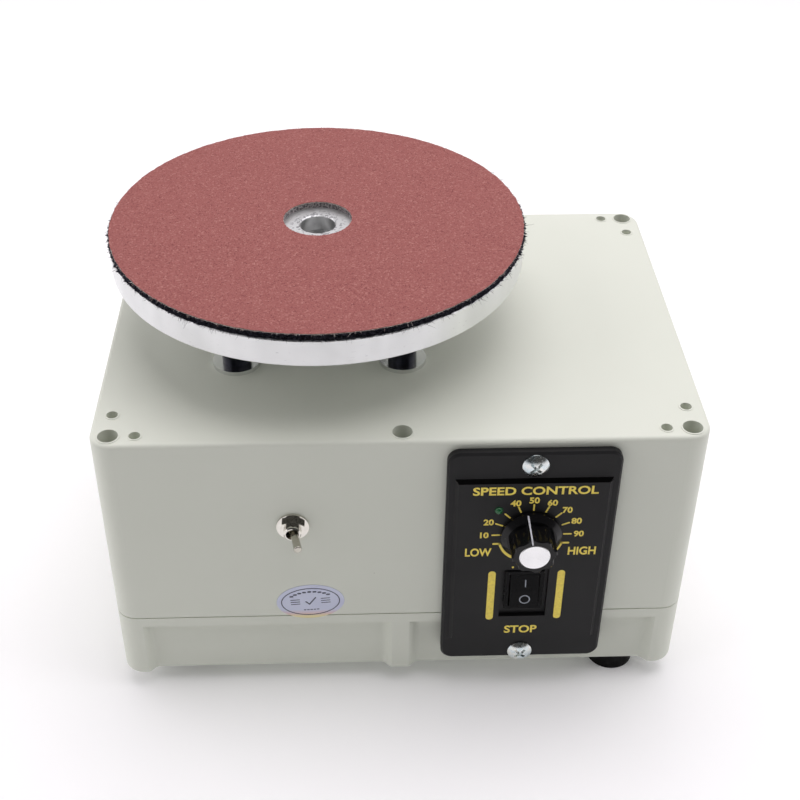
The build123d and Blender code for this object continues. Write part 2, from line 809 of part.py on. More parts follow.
with BuildPart() as bearing_inner_races:
    for z in bearing_levels:
        with BuildSketch(level(z, spindle_x)):
            Circle(inner_race_radius)
            Circle(bearing_bore / 2 + seat_gap, mode=Mode.SUBTRACT)
        extrude(amount=bearing_width)
        with Locations((spindle_x, 0, z + bearing_width / 2)):
            Torus(ball_circle, ball_radius + ball_gap, mode=Mode.SUBTRACT)
finish(bearing_inner_races.part, "bearing_inner_races")

ball_angles = [radians(360 * i / ball_count) for i in range(ball_count)]
ball_points = [(spindle_x + ball_circle * cos(a), ball_circle * sin(a), z + bearing_width / 2)
               for z in bearing_levels for a in ball_angles]
with BuildPart() as bearing_balls:
    with Locations(*ball_points):
        Sphere(ball_radius)
finish(bearing_balls.part, "bearing_balls")

with BuildPart() as bearing_cages:
    for z in bearing_levels:
        with BuildSketch(level(z + (bearing_width - cage_height) / 2, spindle_x)):
            Circle(ball_circle + cage_width / 2)
            Circle(ball_circle - cage_width / 2, mode=Mode.SUBTRACT)
        extrude(amount=cage_height)
        for a in ball_angles:
            with BuildSketch(Plane(origin=(spindle_x, 0, z + bearing_width / 2),
                                   z_dir=(cos(a), sin(a), 0))):
                Circle(ball_radius + ball_gap)
            extrude(amount=ball_circle + cage_width, mode=Mode.SUBTRACT)
finish(bearing_cages.part, "bearing_cages")

# ---- motor shaft: stepped, running from the speed sensor up into the disc plate ----
shaft_bottom_z = rear_cover_z - shaft_tail
with BuildPart() as motor_shaft:
    with BuildSketch(level(shaft_bottom_z, spindle_x)):
        Circle(shaft_diameter / 2)
    extrude(amount=shaft_top_z - shaft_bottom_z)
    with BuildSketch(level(rear_pocket_top_z, spindle_x)):
        Circle(shaft_shoulder / 2)
    extrude(amount=front_bearing_z - rear_pocket_top_z)
    shaft_ends = motor_shaft.faces().filter_by(GeomType.PLANE).sort_by(Axis.Z)
    chamfer(shaft_ends[0].edges() + shaft_ends[-1].edges(), shaft_chamfer)
finish(motor_shaft.part, "motor_shaft")

# ---- speed sensor under the motor: magnet ring, coil and cup cover ----
magnet_z = rear_cover_z - tacho_height - tacho_gap
with BuildPart() as tacho_magnet:
    with BuildSketch(level(magnet_z, spindle_x)):
        Circle(tacho_magnet_radius)
        Circle(shaft_diameter / 2 + seat_gap, mode=Mode.SUBTRACT)
    extrude(amount=tacho_height)
finish(tacho_magnet.part, "tacho_magnet")

with BuildPart() as tacho_coil:
    with BuildSketch(level(rear_cover_z, spindle_x)):
        Circle(tacho_coil_outer)
        Circle(tacho_coil_inner, mode=Mode.SUBTRACT)
    extrude(amount=-tacho_height)
finish(tacho_coil.part, "tacho_coil")

with BuildPart() as tacho_cover:
    with BuildSketch(level(rear_cover_z, spindle_x)):
        Circle(tacho_coil_outer + tacho_cover_wall + thread_gap)
    extrude(amount=-tacho_cup_depth)
    with BuildSketch(level(rear_cover_z, spindle_x)):
        Circle(tacho_coil_outer + thread_gap)
    extrude(amount=-(tacho_cup_depth - tacho_cover_wall), mode=Mode.SUBTRACT)
finish(tacho_cover.part, "tacho_cover")

# ---- hub: clamps the disc plate to the shaft with two grub screws ----
hub_axis = level(hub_flange_z, spindle_x)
with BuildPart() as disc_hub:
    with BuildSketch(hub_axis):
        Circle(hub_flange_diameter / 2)
    extrude(amount=hub_flange_thickness)
    chamfer(disc_hub.faces().sort_by(Axis.Z)[0].edges(), plate_edge_chamfer)
    with BuildSketch(hub_axis):
        Circle(hub_sleeve_diameter / 2)
    extrude(amount=-(hub_flange_z - hub_sleeve_z))
    with BuildSketch(level(hub_sleeve_z, spindle_x)):
        Circle(shaft_diameter / 2 + seat_gap)
    extrude(amount=plate_z - hub_sleeve_z, mode=Mode.SUBTRACT)
    with BuildSketch(hub_axis):
        with PolarLocations(hub_screw_circle / 2, hub_screw_count, start_angle=hub_screw_angle):
            Circle(hub_screw_diameter / 2 + hole_gap)
    extrude(amount=hub_flange_thickness, mode=Mode.SUBTRACT)
    with BuildSketch(facing_front(spindle_x, 0, grub_z)):
        Circle(grub_diameter / 2 + thread_gap)
    extrude(amount=hub_sleeve_diameter / 2, mode=Mode.SUBTRACT)
    with BuildSketch(Plane(origin=(spindle_x, 0, grub_z), z_dir=(1, 0, 0))):
        Circle(grub_diameter / 2 + thread_gap)
    extrude(amount=hub_sleeve_diameter / 2, mode=Mode.SUBTRACT)
finish(disc_hub.part, "disc_hub")

grub_start = shaft_diameter / 2 + seat_gap + thread_gap
with BuildPart() as hub_grub_screws:
    with BuildSketch(facing_front(spindle_x, -grub_start, grub_z)):
        Circle(grub_diameter / 2)
    extrude(amount=grub_length)
    with BuildSketch(Plane(origin=(spindle_x + grub_start, 0, grub_z), z_dir=(1, 0, 0))):
        Circle(grub_diameter / 2)
    extrude(amount=grub_length)
finish(hub_grub_screws.part, "hub_grub_screws")

hub_screw_plane = level(hub_flange_z, spindle_x)
with BuildPart() as disc_screws:
    with BuildSketch(hub_screw_plane):
        with PolarLocations(hub_screw_circle / 2, hub_screw_count, start_angle=hub_screw_angle):
            Circle(hub_screw_diameter / 2)
    extrude(amount=hub_flange_thickness + hub_screw_engagement)
    with BuildSketch(hub_screw_plane):
        with PolarLocations(hub_screw_circle / 2, hub_screw_count, start_angle=hub_screw_angle):
            Circle(hub_screw_head / 2)
    extrude(amount=-hub_screw_head_height)
finish(disc_screws.part, "disc_screws")

# ---- disc: turned aluminium plate, hook pad and abrasive sheet ----
with BuildPart() as disc_plate:
    with BuildSketch(level(plate_z, spindle_x)):
        Circle(disc_diameter / 2)
    extrude(amount=plate_thickness)
    plate_faces = disc_plate.faces().sort_by(Axis.Z)
    chamfer(plate_faces[0].edges() + plate_faces[-1].edges(), plate_edge_chamfer)
    with BuildSketch(level(plate_top_z, spindle_x)):
        Circle(plate_boss_diameter / 2)
    extrude(amount=plate_boss_height)
    with BuildSketch(level(plate_z, spindle_x)):
        Circle(plate_bore / 2)
    extrude(amount=boss_top_z - plate_z, mode=Mode.SUBTRACT)
    chamfer(disc_plate.faces().sort_by(Axis.Z)[-1].edges().sort_by(SortBy.RADIUS)[0],
            plate_bore_chamfer)
    with BuildSketch(level(plate_z, spindle_x)):
        with PolarLocations(hub_screw_circle / 2, hub_screw_count, start_angle=hub_screw_angle):
            Circle(hub_screw_diameter / 2 + thread_gap)
    extrude(amount=hub_screw_engagement + end_allowance, mode=Mode.SUBTRACT)
finish(disc_plate.part, "disc_plate")

with BuildPart() as hook_pad:
    with BuildSketch(level(plate_top_z, spindle_x)):
        Circle(disc_diameter / 2)
        Circle(centre_hole / 2, mode=Mode.SUBTRACT)
    extrude(amount=pad_thickness)
finish(hook_pad.part, "hook_pad")

with BuildPart() as abrasive_disc:
    with BuildSketch(level(pad_top_z, spindle_x)):
        Circle(disc_diameter / 2)
        Circle(centre_hole / 2, mode=Mode.SUBTRACT)
    extrude(amount=abrasive_thickness)
finish(abrasive_disc.part, "abrasive_disc")

# ---- control unit faceplate: bevelled plate with a raised, sloped block ----
block_z = panel_z + block_lift
panel_screw_points = [(0, z - panel_z) for z in panel_screw_heights]
with BuildPart() as control_faceplate:
    with BuildSketch(facing_front(panel_x, front_y, panel_z)):
        RectangleRounded(panel_width, panel_height, panel_corner_radius)
    extrude(amount=panel_thickness)
    chamfer(control_faceplate.faces().sort_by(Axis.Y)[0].edges(), panel_bevel)
    with BuildSketch(facing_front(panel_x, plate_face_y, block_z)):
        Rectangle(block_width, block_height)
    extrude(amount=block_rise, taper=degrees(atan(block_slope / block_rise)))
    # hollow back that takes the control unit's case
    with BuildSketch(facing_front(panel_x, front_y, panel_z)):
        Rectangle(case_width + 2 * thread_gap, case_height + 2 * thread_gap)
    extrude(amount=front_y - pocket_y, mode=Mode.SUBTRACT)
    # holes: panel screws, potentiometer, indicator, switch
    with BuildSketch(facing_front(panel_x, front_y, panel_z)):
        with Locations(*panel_screw_points):
            Circle(panel_screw_diameter / 2 + hole_gap)
        with Locations((dial_x, dial_rise)):
            Circle(pot_bushing_diameter / 2 + thread_gap)
            with PolarLocations(led_circle, 1, start_angle=led_angle):
                Circle(led_diameter / 2 + thread_gap)
        with Locations((rocker_x, -rocker_drop)):
            Rectangle(rocker_body_width + 2 * thread_gap, rocker_body_height + 2 * thread_gap)
    extrude(amount=panel_thickness + block_rise, mode=Mode.SUBTRACT)
    with BuildSketch(facing_front(panel_x + rocker_x, block_face_y, rocker_z - rocker_pocket_drop)):
        Rectangle(rocker_pocket_width, rocker_pocket_height)
    extrude(amount=-block_rise, mode=Mode.SUBTRACT)
finish(control_faceplate.part, "control_faceplate")

# ---- panel screws: domed heads, each a cap cut from a ball, on a thin rim ----
dome_radius = ((panel_screw_head / 2) ** 2 + panel_screw_dome ** 2) / (2 * panel_screw_dome)
dome_base_y = plate_face_y - panel_screw_rim
with BuildPart() as panel_screws:
    with Locations(*[(panel_x, dome_base_y + dome_radius - panel_screw_dome, z)
                     for z in panel_screw_heights]):
        Sphere(dome_radius)
    with BuildSketch(facing_front(panel_x, dome_base_y, panel_z)):
        with Locations(*panel_screw_points):
            Circle(panel_screw_head / 2)
    extrude(amount=panel_screw_dome, mode=Mode.INTERSECT)
    with BuildSketch(facing_front(panel_x, plate_face_y, panel_z)):
        with Locations(*panel_screw_points):
            Circle(panel_screw_head / 2)
    extrude(amount=panel_screw_rim)
    with BuildSketch(facing_front(panel_x, dome_base_y - panel_screw_dome, panel_z)):
        with Locations(*panel_screw_points):
            cross_recess(panel_screw_head, rotation=45)
    extrude(amount=-recess_depth, mode=Mode.SUBTRACT)
    with BuildSketch(facing_front(panel_x, plate_face_y, panel_z)):
        with Locations(*panel_screw_points):
            Circle(panel_screw_diameter / 2)
    extrude(amount=-panel_screw_length)
finish(panel_screws.part, "panel_screws")

# ---- control unit case, its rear cover and its populated board ----
with BuildPart() as control_case:
    with BuildSketch(facing_back(panel_x, pocket_y, panel_z)):
        Rectangle(case_width, case_height)
        Rectangle(case_width - 2 * case_wall, case_height - 2 * case_wall, mode=Mode.SUBTRACT)
    extrude(amount=case_depth)
finish(control_case.part, "control_case")

with BuildPart() as control_case_cover:
    with BuildSketch(facing_back(panel_x, case_back_y, panel_z)):
        Rectangle(case_width, case_height)
    extrude(amount=case_wall)
    with BuildSketch(facing_back(panel_x, case_back_y, panel_z)):
        Rectangle(case_width - 2 * case_wall - 2 * board_gap,
                  case_height - 2 * case_wall - 2 * board_gap)
    extrude(amount=-case_wall)
finish(control_case_cover.part, "control_case_cover")

board_y = pocket_y + pot_body_depth + rocker_body_depth
board_width = case_width - 2 * case_wall - 2 * board_gap
board_height = case_height - 2 * case_wall - 2 * board_gap
with BuildPart() as control_board:
    with BuildSketch(facing_back(panel_x, board_y, panel_z)):
        Rectangle(board_width, board_height)
    extrude(amount=board_thickness)
    # transformer, heat sink and two capacitors on the board's rear face
    with BuildSketch(facing_back(panel_x, board_y, panel_z)):
        with Locations((0, -board_height / 4)):
            Rectangle(transformer_width, transformer_height)
    extrude(amount=transformer_depth)
    with BuildSketch(facing_back(panel_x, board_y, panel_z)):
        with Locations((board_width / 4, board_height / 4)):
            Rectangle(heat_sink_thickness, heat_sink_height)
        with GridLocations(board_capacitor_pitch, 0, 2, 1):
            with Locations((-board_width / 6, board_height / 4)):
                Circle(board_capacitor_diameter / 2)
    extrude(amount=board_part_depth)
finish(control_board.part, "control_board")

# ---- potentiometer with its nut and shaft ----
pot_floor_y = pocket_y + pot_body_depth - pot_floor
pot_shaft_back_y = pot_floor_y - running_gap
with BuildPart() as potentiometer_body:
    with BuildSketch(facing_back(panel_x + dial_x, pocket_y, dial_z)):
        Circle(pot_body_diameter / 2)
    extrude(amount=pot_body_depth)
    with BuildSketch(facing_front(panel_x + dial_x, pocket_y, dial_z)):
        Circle(pot_bushing_diameter / 2)
    extrude(amount=panel_skin + pot_bushing_rise)
    with BuildSketch(facing_front(panel_x + dial_x, pot_floor_y, dial_z)):
        Circle(pot_shaft_diameter / 2 + pivot_gap)
    extrude(amount=pot_body_depth + panel_skin + pot_bushing_rise, mode=Mode.SUBTRACT)
finish(potentiometer_body.part, "potentiometer_body")

with BuildPart() as potentiometer_nut:
    with BuildSketch(facing_front(panel_x + dial_x, block_face_y, dial_z)):
        RegularPolygon(pot_nut_flats / 2, 6, major_radius=False)
        Circle(pot_bushing_diameter / 2 + thread_gap, mode=Mode.SUBTRACT)
    extrude(amount=pot_nut_height)
finish(potentiometer_nut.part, "potentiometer_nut")

shaft_tip_y = knob_face_y + knob_cap_thickness + end_allowance
with BuildPart() as potentiometer_shaft:
    with BuildSketch(facing_front(panel_x + dial_x, pot_shaft_back_y, dial_z)):
        Circle(pot_shaft_diameter / 2)
    extrude(amount=pot_shaft_back_y - shaft_tip_y)
finish(potentiometer_shaft.part, "potentiometer_shaft")

# ---- knob: skirt, fluted grip and spun metal cap ----
knob_axis_x = panel_x + dial_x
flute_circle = knob_diameter / 2 + knob_flute_radius - knob_flute_depth
flute_start = 90 + knob_rest_angle + 180 / knob_flutes
skirt_taper = degrees(atan((knob_skirt_diameter - knob_neck_diameter) / 2
                           / (knob_skirt_height - knob_skirt_edge)))
with BuildPart() as speed_knob:
    with BuildSketch(facing_front(knob_axis_x, knob_back_y, dial_z)):
        Circle(knob_skirt_diameter / 2)
    extrude(amount=knob_skirt_edge)
    with BuildSketch(facing_front(knob_axis_x, knob_back_y - knob_skirt_edge, dial_z)):
        Circle(knob_skirt_diameter / 2)
    extrude(amount=knob_skirt_height - knob_skirt_edge, taper=skirt_taper)
    with BuildSketch(facing_front(knob_axis_x, knob_back_y - knob_skirt_height, dial_z)):
        Circle(knob_diameter / 2)
        with PolarLocations(flute_circle, knob_flutes, start_angle=flute_start):
            Circle(knob_flute_radius, mode=Mode.SUBTRACT)
    extrude(amount=knob_back_y - knob_skirt_height - knob_face_y)
    chamfer(speed_knob.faces().sort_by(Axis.Y)[0].edges(), small_chamfer)
    with BuildSketch(facing_front(knob_axis_x, knob_back_y, dial_z)):
        Circle(knob_hollow / 2)
    extrude(amount=knob_hollow_depth, mode=Mode.SUBTRACT)
    with BuildSketch(facing_front(knob_axis_x, knob_back_y, dial_z)):
        Circle(pot_shaft_diameter / 2 + seat_gap)
    extrude(amount=knob_back_y - shaft_tip_y, mode=Mode.SUBTRACT)
    with BuildSketch(facing_front(knob_axis_x, knob_face_y, dial_z)):
        Circle(knob_cap_diameter / 2 + seat_gap)
    extrude(amount=-(knob_cap_thickness - knob_cap_rise), mode=Mode.SUBTRACT)
finish(speed_knob.part, "speed_knob")

with BuildPart() as knob_cap:
    with BuildSketch(facing_front(knob_axis_x, knob_face_y - knob_cap_rise, dial_z)):
        Circle(knob_cap_diameter / 2)
    extrude(amount=-knob_cap_thickness)
    chamfer(knob_cap.faces().sort_by(Axis.Y)[0].edges(), knob_cap_chamfer)
finish(knob_cap.part, "knob_cap")

# ---- indicator lamp beside the dial ----
led_x = knob_axis_x + led_circle * cos(radians(led_angle))
led_z = dial_z + led_circle * sin(radians(led_angle))
led_back_y = block_face_y - led_rise + led_length
with BuildPart() as speed_led:
    with BuildSketch(facing_front(led_x, led_back_y, led_z)):
        Circle(led_diameter / 2)
    extrude(amount=led_length)
    fillet(speed_led.faces().sort_by(Axis.Y)[0].edges(), led_diameter / 2 - led_dome_flat)
    with BuildSketch(facing_back(led_x, led_back_y, led_z)):
        with GridLocations(led_lead_pitch, 0, 2, 1):
            Circle(led_lead_diameter / 2)
    extrude(amount=board_y - led_back_y)
finish(speed_led.part, "speed_led")

# ---- rocker switch: housing with bezel, and the paddle that tilts in it ----
cavity_width = paddle_width + 2 * paddle_gap
bezel_face_y = plate_face_y - bezel_thickness
pivot_y = bezel_face_y + paddle_pivot_depth
paddle_edge = paddle_pivot_depth + paddle_rise
paddle_reach = hypot(paddle_length / 2, paddle_edge)
paddle_corner = atan2(paddle_edge, paddle_length / 2)
swept_half = paddle_reach * cos(paddle_corner - radians(paddle_angle))
cavity_height = 2 * (swept_half + paddle_gap)
cavity_depth = paddle_pivot_depth + hypot(paddle_stub_depth, paddle_stub_half_width) + paddle_gap
with BuildPart() as rocker_housing:
    with BuildSketch(facing_front(panel_x + rocker_x, plate_face_y, rocker_z)):
        RectangleRounded(bezel_width, bezel_height, bezel_corner_radius)
    extrude(amount=bezel_thickness)
    chamfer(rocker_housing.faces().sort_by(Axis.Y)[0].edges(), small_chamfer)
    with BuildSketch(facing_back(panel_x + rocker_x, plate_face_y, rocker_z)):
        Rectangle(rocker_body_width, rocker_body_height)
    extrude(amount=rocker_body_depth)
    with BuildSketch(facing_back(panel_x + rocker_x, bezel_face_y, rocker_z)):
        Rectangle(cavity_width, cavity_height)
    extrude(amount=cavity_depth, mode=Mode.SUBTRACT)
    with BuildSketch(facing_back(panel_x + rocker_x, plate_face_y + rocker_body_depth, rocker_z)):
        with GridLocations(0, rocker_tab_pitch, 1, 2):
            Rectangle(rocker_tab_width, tab_thickness)
    extrude(amount=rocker_tab_length)
finish(rocker_housing.part, "rocker_housing")

# The paddle's sketch has x out of the bezel and y down the paddle, tilted so that its upper end is in.
paddle_plane = Plane(origin=(panel_x + rocker_x - paddle_width / 2, pivot_y, rocker_z),
                     x_dir=(0, -cos(radians(paddle_angle)), sin(radians(paddle_angle))),
                     z_dir=(1, 0, 0))
half_length = paddle_length / 2
with BuildPart() as rocker_paddle:
    with BuildSketch(paddle_plane):
        with BuildLine():
            Polyline((-paddle_stub_depth, -paddle_stub_half_width),
                     (-paddle_stub_depth, paddle_stub_half_width), (-paddle_skirt, half_length),
                     (paddle_edge, half_length), (paddle_edge + paddle_crown, 0),
                     (paddle_edge, -half_length), (-paddle_skirt, -half_length), close=True)
        make_face()
    extrude(amount=paddle_width)
finish(rocker_paddle.part, "rocker_paddle")

# ---- toggle switch: body behind the wall, threaded bushing, washer, nut and lever ----
with BuildPart() as toggle_body:
    with BuildSketch(facing_back(toggle_x, front_y + box_wall, toggle_z)):
        Rectangle(toggle_body_size, toggle_body_size)
    extrude(amount=toggle_body_depth)
    with BuildSketch(facing_back(toggle_x, front_y + box_wall, toggle_z)):
        Rectangle(toggle_cavity, toggle_cavity)
    extrude(amount=toggle_body_depth - toggle_floor, mode=Mode.SUBTRACT)
    with BuildSketch(facing_back(toggle_x, front_y + box_wall + toggle_body_depth, toggle_z)):
        with GridLocations(toggle_pin_pitch_x, toggle_pin_pitch_z, 2, 2):
            Rectangle(toggle_pin_width, tab_thickness)
    extrude(amount=toggle_pin_length)
finish(toggle_body.part, "toggle_body")

with BuildPart() as toggle_bushing:
    with BuildSketch(facing_front(toggle_x, front_y + box_wall, toggle_z)):
        Circle(toggle_bushing_diameter / 2)
        Circle(toggle_bore / 2, mode=Mode.SUBTRACT)
    extrude(amount=box_wall + toggle_bushing_rise)
    chamfer(toggle_bushing.faces().sort_by(Axis.Y)[0].outer_wire().edges(), small_chamfer)
    with BuildSketch(facing_back(toggle_x, front_y + box_wall, toggle_z)):
        Rectangle(toggle_cavity - 2 * thread_gap, toggle_cavity - 2 * thread_gap)
    extrude(amount=toggle_flange)
    with BuildSketch(facing_front(toggle_x, front_y + box_wall + toggle_flange, toggle_z)):
        Circle(toggle_back_bore / 2)
    extrude(amount=front_y + box_wall + toggle_flange - toggle_pivot_y - toggle_ball_diameter / 2,
            mode=Mode.SUBTRACT)
finish(toggle_bushing.part, "toggle_bushing")

with BuildPart() as toggle_washer:
    with BuildSketch(facing_front(toggle_x, front_y, toggle_z)):
        Circle(toggle_washer_diameter / 2)
        Circle(toggle_bushing_diameter / 2 + thread_gap, mode=Mode.SUBTRACT)
    extrude(amount=toggle_washer_thickness)
finish(toggle_washer.part, "toggle_washer")

with BuildPart() as toggle_nut:
    with BuildSketch(facing_front(toggle_x, front_y - toggle_washer_thickness, toggle_z)):
        RegularPolygon(toggle_nut_flats / 2, 6, major_radius=False, rotation=toggle_nut_turn)
        Circle(toggle_bushing_diameter / 2 + thread_gap, mode=Mode.SUBTRACT)
    extrude(amount=toggle_nut_height)
finish(toggle_nut.part, "toggle_nut")

lever_plane = Plane(origin=(toggle_x, toggle_pivot_y, toggle_z), x_dir=(0, 0, 1),
                    z_dir=(sin(radians(toggle_angle)), -cos(radians(toggle_angle)), 0))
lever_length = toggle_lever_reach + toggle_pivot_depth
with BuildPart() as toggle_lever:
    with BuildSketch(lever_plane):
        Circle(toggle_root_diameter / 2)
    with BuildSketch(lever_plane.offset(lever_length)):
        Circle(toggle_tip_diameter / 2)
    loft()
    tip = toggle_lever.faces().sort_by(Axis.Y)[0]
    fillet(tip.edges(), toggle_tip_radius)
    with BuildSketch(lever_plane):
        Circle(toggle_root_diameter / 2)
    extrude(amount=-toggle_tail)
    with Locations((toggle_x, toggle_pivot_y, toggle_z)):
        Sphere(toggle_ball_diameter / 2)
finish(toggle_lever.part, "toggle_lever")

# ---- cable gland in the back wall, with an open bore for a mains lead ----
gland_thread_length = box_wall + gland_nut_height + gland_thread_end
with BuildPart() as gland_body:
    with BuildSketch(facing_back(gland_x, back_y, gland_z)):
        RegularPolygon(gland_flats / 2, 6, major_radius=False)
    extrude(amount=gland_flange_height)
    with BuildSketch(facing_back(gland_x, back_y, gland_z)):
        Circle(gland_thread / 2)
    extrude(amount=-gland_thread_length)
    with BuildSketch(facing_back(gland_x, back_y + gland_flange_height, gland_z)):
        Circle(gland_collet_diameter / 2)
    extrude(amount=gland_cap_length - gland_collet_drop)
    with BuildSketch(facing_back(gland_x, back_y - gland_thread_length, gland_z)):
        Circle(gland_seal_diameter / 2 + thread_gap)
    extrude(amount=gland_thread_length + gland_flange_height + gland_cap_length, mode=Mode.SUBTRACT)
finish(gland_body.part, "gland_body")

with BuildPart() as gland_locknut:
    with BuildSketch(facing_back(gland_x, inner_back_y - gland_nut_height, gland_z)):
        RegularPolygon(gland_nut_flats / 2, 6, major_radius=False)
        Circle(gland_thread / 2 + thread_gap, mode=Mode.SUBTRACT)
    extrude(amount=gland_nut_height)
finish(gland_locknut.part, "gland_locknut")

gland_seal_length = gland_cap_length - gland_seal_drop
with BuildPart() as gland_seal:
    with BuildSketch(facing_back(gland_x, back_y + gland_flange_height, gland_z)):
        Circle(gland_seal_diameter / 2)
        Circle(gland_seal_bore / 2, mode=Mode.SUBTRACT)
    extrude(amount=gland_seal_length)
finish(gland_seal.part, "gland_seal")

with BuildPart() as gland_cap:
    with BuildSketch(facing_back(gland_x, back_y + gland_flange_height, gland_z)):
        RegularPolygon(gland_flats / 2, 6, major_radius=False)
    extrude(amount=gland_cap_hex_length)
    with BuildSketch(facing_back(gland_x, back_y + gland_flange_height, gland_z)):
        Circle(gland_flats / 2)
    extrude(amount=gland_cap_length)
    fillet(gland_cap.faces().sort_by(Axis.Y)[-1].edges(), gland_cap_radius)
    with BuildSketch(facing_back(gland_x, back_y + gland_flange_height, gland_z)):
        Circle(gland_collet_diameter / 2 + thread_gap)
    extrude(amount=gland_seal_length, mode=Mode.SUBTRACT)
    with BuildSketch(facing_back(gland_x, back_y + gland_flange_height, gland_z)):
        Circle(gland_cap_opening / 2)
    extrude(amount=gland_cap_length, mode=Mode.SUBTRACT)
finish(gland_cap.part, "gland_cap")

# ---- run capacitor, held to the back wall by a strap and two screws ----
clamp_back_y = inner_back_y - boss_rise
capacitor_y = clamp_back_y - clamp_thickness - capacitor_diameter / 2
with BuildPart() as run_capacitor:
    with BuildSketch(level(capacitor_z - capacitor_length / 2, capacitor_x, capacitor_y)):
        Circle(capacitor_diameter / 2)
    extrude(amount=capacitor_length)
    fillet(run_capacitor.faces().sort_by(Axis.Z)[-1].edges(), capacitor_edge_radius)
    with BuildSketch(level(capacitor_z - capacitor_length / 2, capacitor_x, capacitor_y)):
        with GridLocations(capacitor_tab_pitch, 0, 2, 1):
            Rectangle(capacitor_tab_width, tab_thickness)
    extrude(amount=-capacitor_tab_length)
finish(run_capacitor.part, "run_capacitor")

with BuildPart() as capacitor_clamp:
    with BuildSketch(level(capacitor_z - clamp_height / 2)):
        with Locations((capacitor_x, capacitor_y)):
            Circle(capacitor_diameter / 2 + clamp_thickness)
        with Locations((capacitor_x, clamp_back_y - clamp_thickness / 2)):
            Rectangle(2 * (clamp_screw_offset + clamp_ear), clamp_thickness)
        with Locations((capacitor_x, capacitor_y)):
            Circle(capacitor_diameter / 2 + seat_gap, mode=Mode.SUBTRACT)
    extrude(amount=clamp_height)
    with BuildSketch(facing_back(capacitor_x, clamp_back_y - clamp_thickness, capacitor_z)):
        with GridLocations(2 * clamp_screw_offset, 0, 2, 1):
            Circle(small_screw_diameter / 2 + hole_gap)
    extrude(amount=clamp_thickness, mode=Mode.SUBTRACT)
finish(capacitor_clamp.part, "capacitor_clamp")

with BuildPart() as capacitor_screws:
    with BuildSketch(facing_back(capacitor_x, clamp_back_y - clamp_thickness, capacitor_z)):
        with GridLocations(2 * clamp_screw_offset, 0, 2, 1):
            Circle(small_screw_diameter / 2)
    extrude(amount=small_screw_length)
    with BuildSketch(facing_back(capacitor_x, clamp_back_y - clamp_thickness, capacitor_z)):
        with GridLocations(2 * clamp_screw_offset, 0, 2, 1):
            Circle(small_screw_head / 2)
    extrude(amount=-small_screw_head_height)
finish(capacitor_screws.part, "capacitor_screws")

# ---- terminal block on the lid floor, and its two fixing screws ----
terminal_z = floor_z + boss_rise
terminal_hole_x = terminal_length / 2 - boss_radius
with BuildPart() as terminal_block:
    with BuildSketch(level(terminal_z, terminal_x, terminal_y)):
        Rectangle(terminal_length, terminal_width)
    extrude(amount=terminal_height)
    way_pitch = (terminal_length - 4 * boss_radius) / terminal_ways
    with BuildSketch(level(terminal_z + terminal_height, terminal_x, terminal_y)):
        with GridLocations(way_pitch, terminal_width / 2, terminal_ways, 2):
            Circle(terminal_way_diameter / 2)
    extrude(amount=-terminal_height / 2, mode=Mode.SUBTRACT)
    with BuildSketch(level(terminal_z, terminal_x, terminal_y)):
        with GridLocations(2 * terminal_hole_x, 0, 2, 1):
            Circle(small_screw_diameter / 2 + hole_gap)
    extrude(amount=terminal_height, mode=Mode.SUBTRACT)
finish(terminal_block.part, "terminal_block")

with BuildPart() as terminal_screws:
    with BuildSketch(level(terminal_z + terminal_height, terminal_x, terminal_y)):
        with GridLocations(2 * terminal_hole_x, 0, 2, 1):
            Circle(small_screw_head / 2)
    extrude(amount=small_screw_head_height)
    with BuildSketch(level(terminal_z + terminal_height, terminal_x, terminal_y)):
        with GridLocations(2 * terminal_hole_x, 0, 2, 1):
            Circle(small_screw_diameter / 2)
    extrude(amount=-(terminal_height + boss_rise - end_allowance))
finish(terminal_screws.part, "terminal_screws")

# ---- oval inspection sticker, laid across the seam ----
with BuildPart() as inspection_sticker:
    with BuildSketch(facing_front(sticker_x, front_y, seam_z + sticker_rise)):
        Ellipse(sticker_width / 2, sticker_height / 2, rotation=sticker_turn)
    extrude(amount=sticker_thickness)
finish(inspection_sticker.part, "inspection_sticker")
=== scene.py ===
import json
from math import cos, pi, radians, sin

import bpy
import numpy as np
from mathutils import Matrix, Vector


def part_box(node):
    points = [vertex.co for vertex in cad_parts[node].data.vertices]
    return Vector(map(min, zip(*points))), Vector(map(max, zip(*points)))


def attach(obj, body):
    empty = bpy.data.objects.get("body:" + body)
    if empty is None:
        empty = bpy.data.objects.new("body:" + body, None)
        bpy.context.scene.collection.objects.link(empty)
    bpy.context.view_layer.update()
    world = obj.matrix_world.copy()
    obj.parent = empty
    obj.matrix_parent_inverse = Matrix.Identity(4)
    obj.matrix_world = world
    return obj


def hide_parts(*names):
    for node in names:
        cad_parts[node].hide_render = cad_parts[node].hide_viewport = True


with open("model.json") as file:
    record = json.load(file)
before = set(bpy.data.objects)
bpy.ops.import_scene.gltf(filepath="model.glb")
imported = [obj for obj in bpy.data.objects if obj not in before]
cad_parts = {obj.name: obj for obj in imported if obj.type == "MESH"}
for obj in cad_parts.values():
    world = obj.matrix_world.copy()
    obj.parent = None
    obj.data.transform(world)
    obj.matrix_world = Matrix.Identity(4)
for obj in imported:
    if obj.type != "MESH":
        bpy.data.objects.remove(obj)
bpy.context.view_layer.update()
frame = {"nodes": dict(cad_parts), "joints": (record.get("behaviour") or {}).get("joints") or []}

MM = 0.001


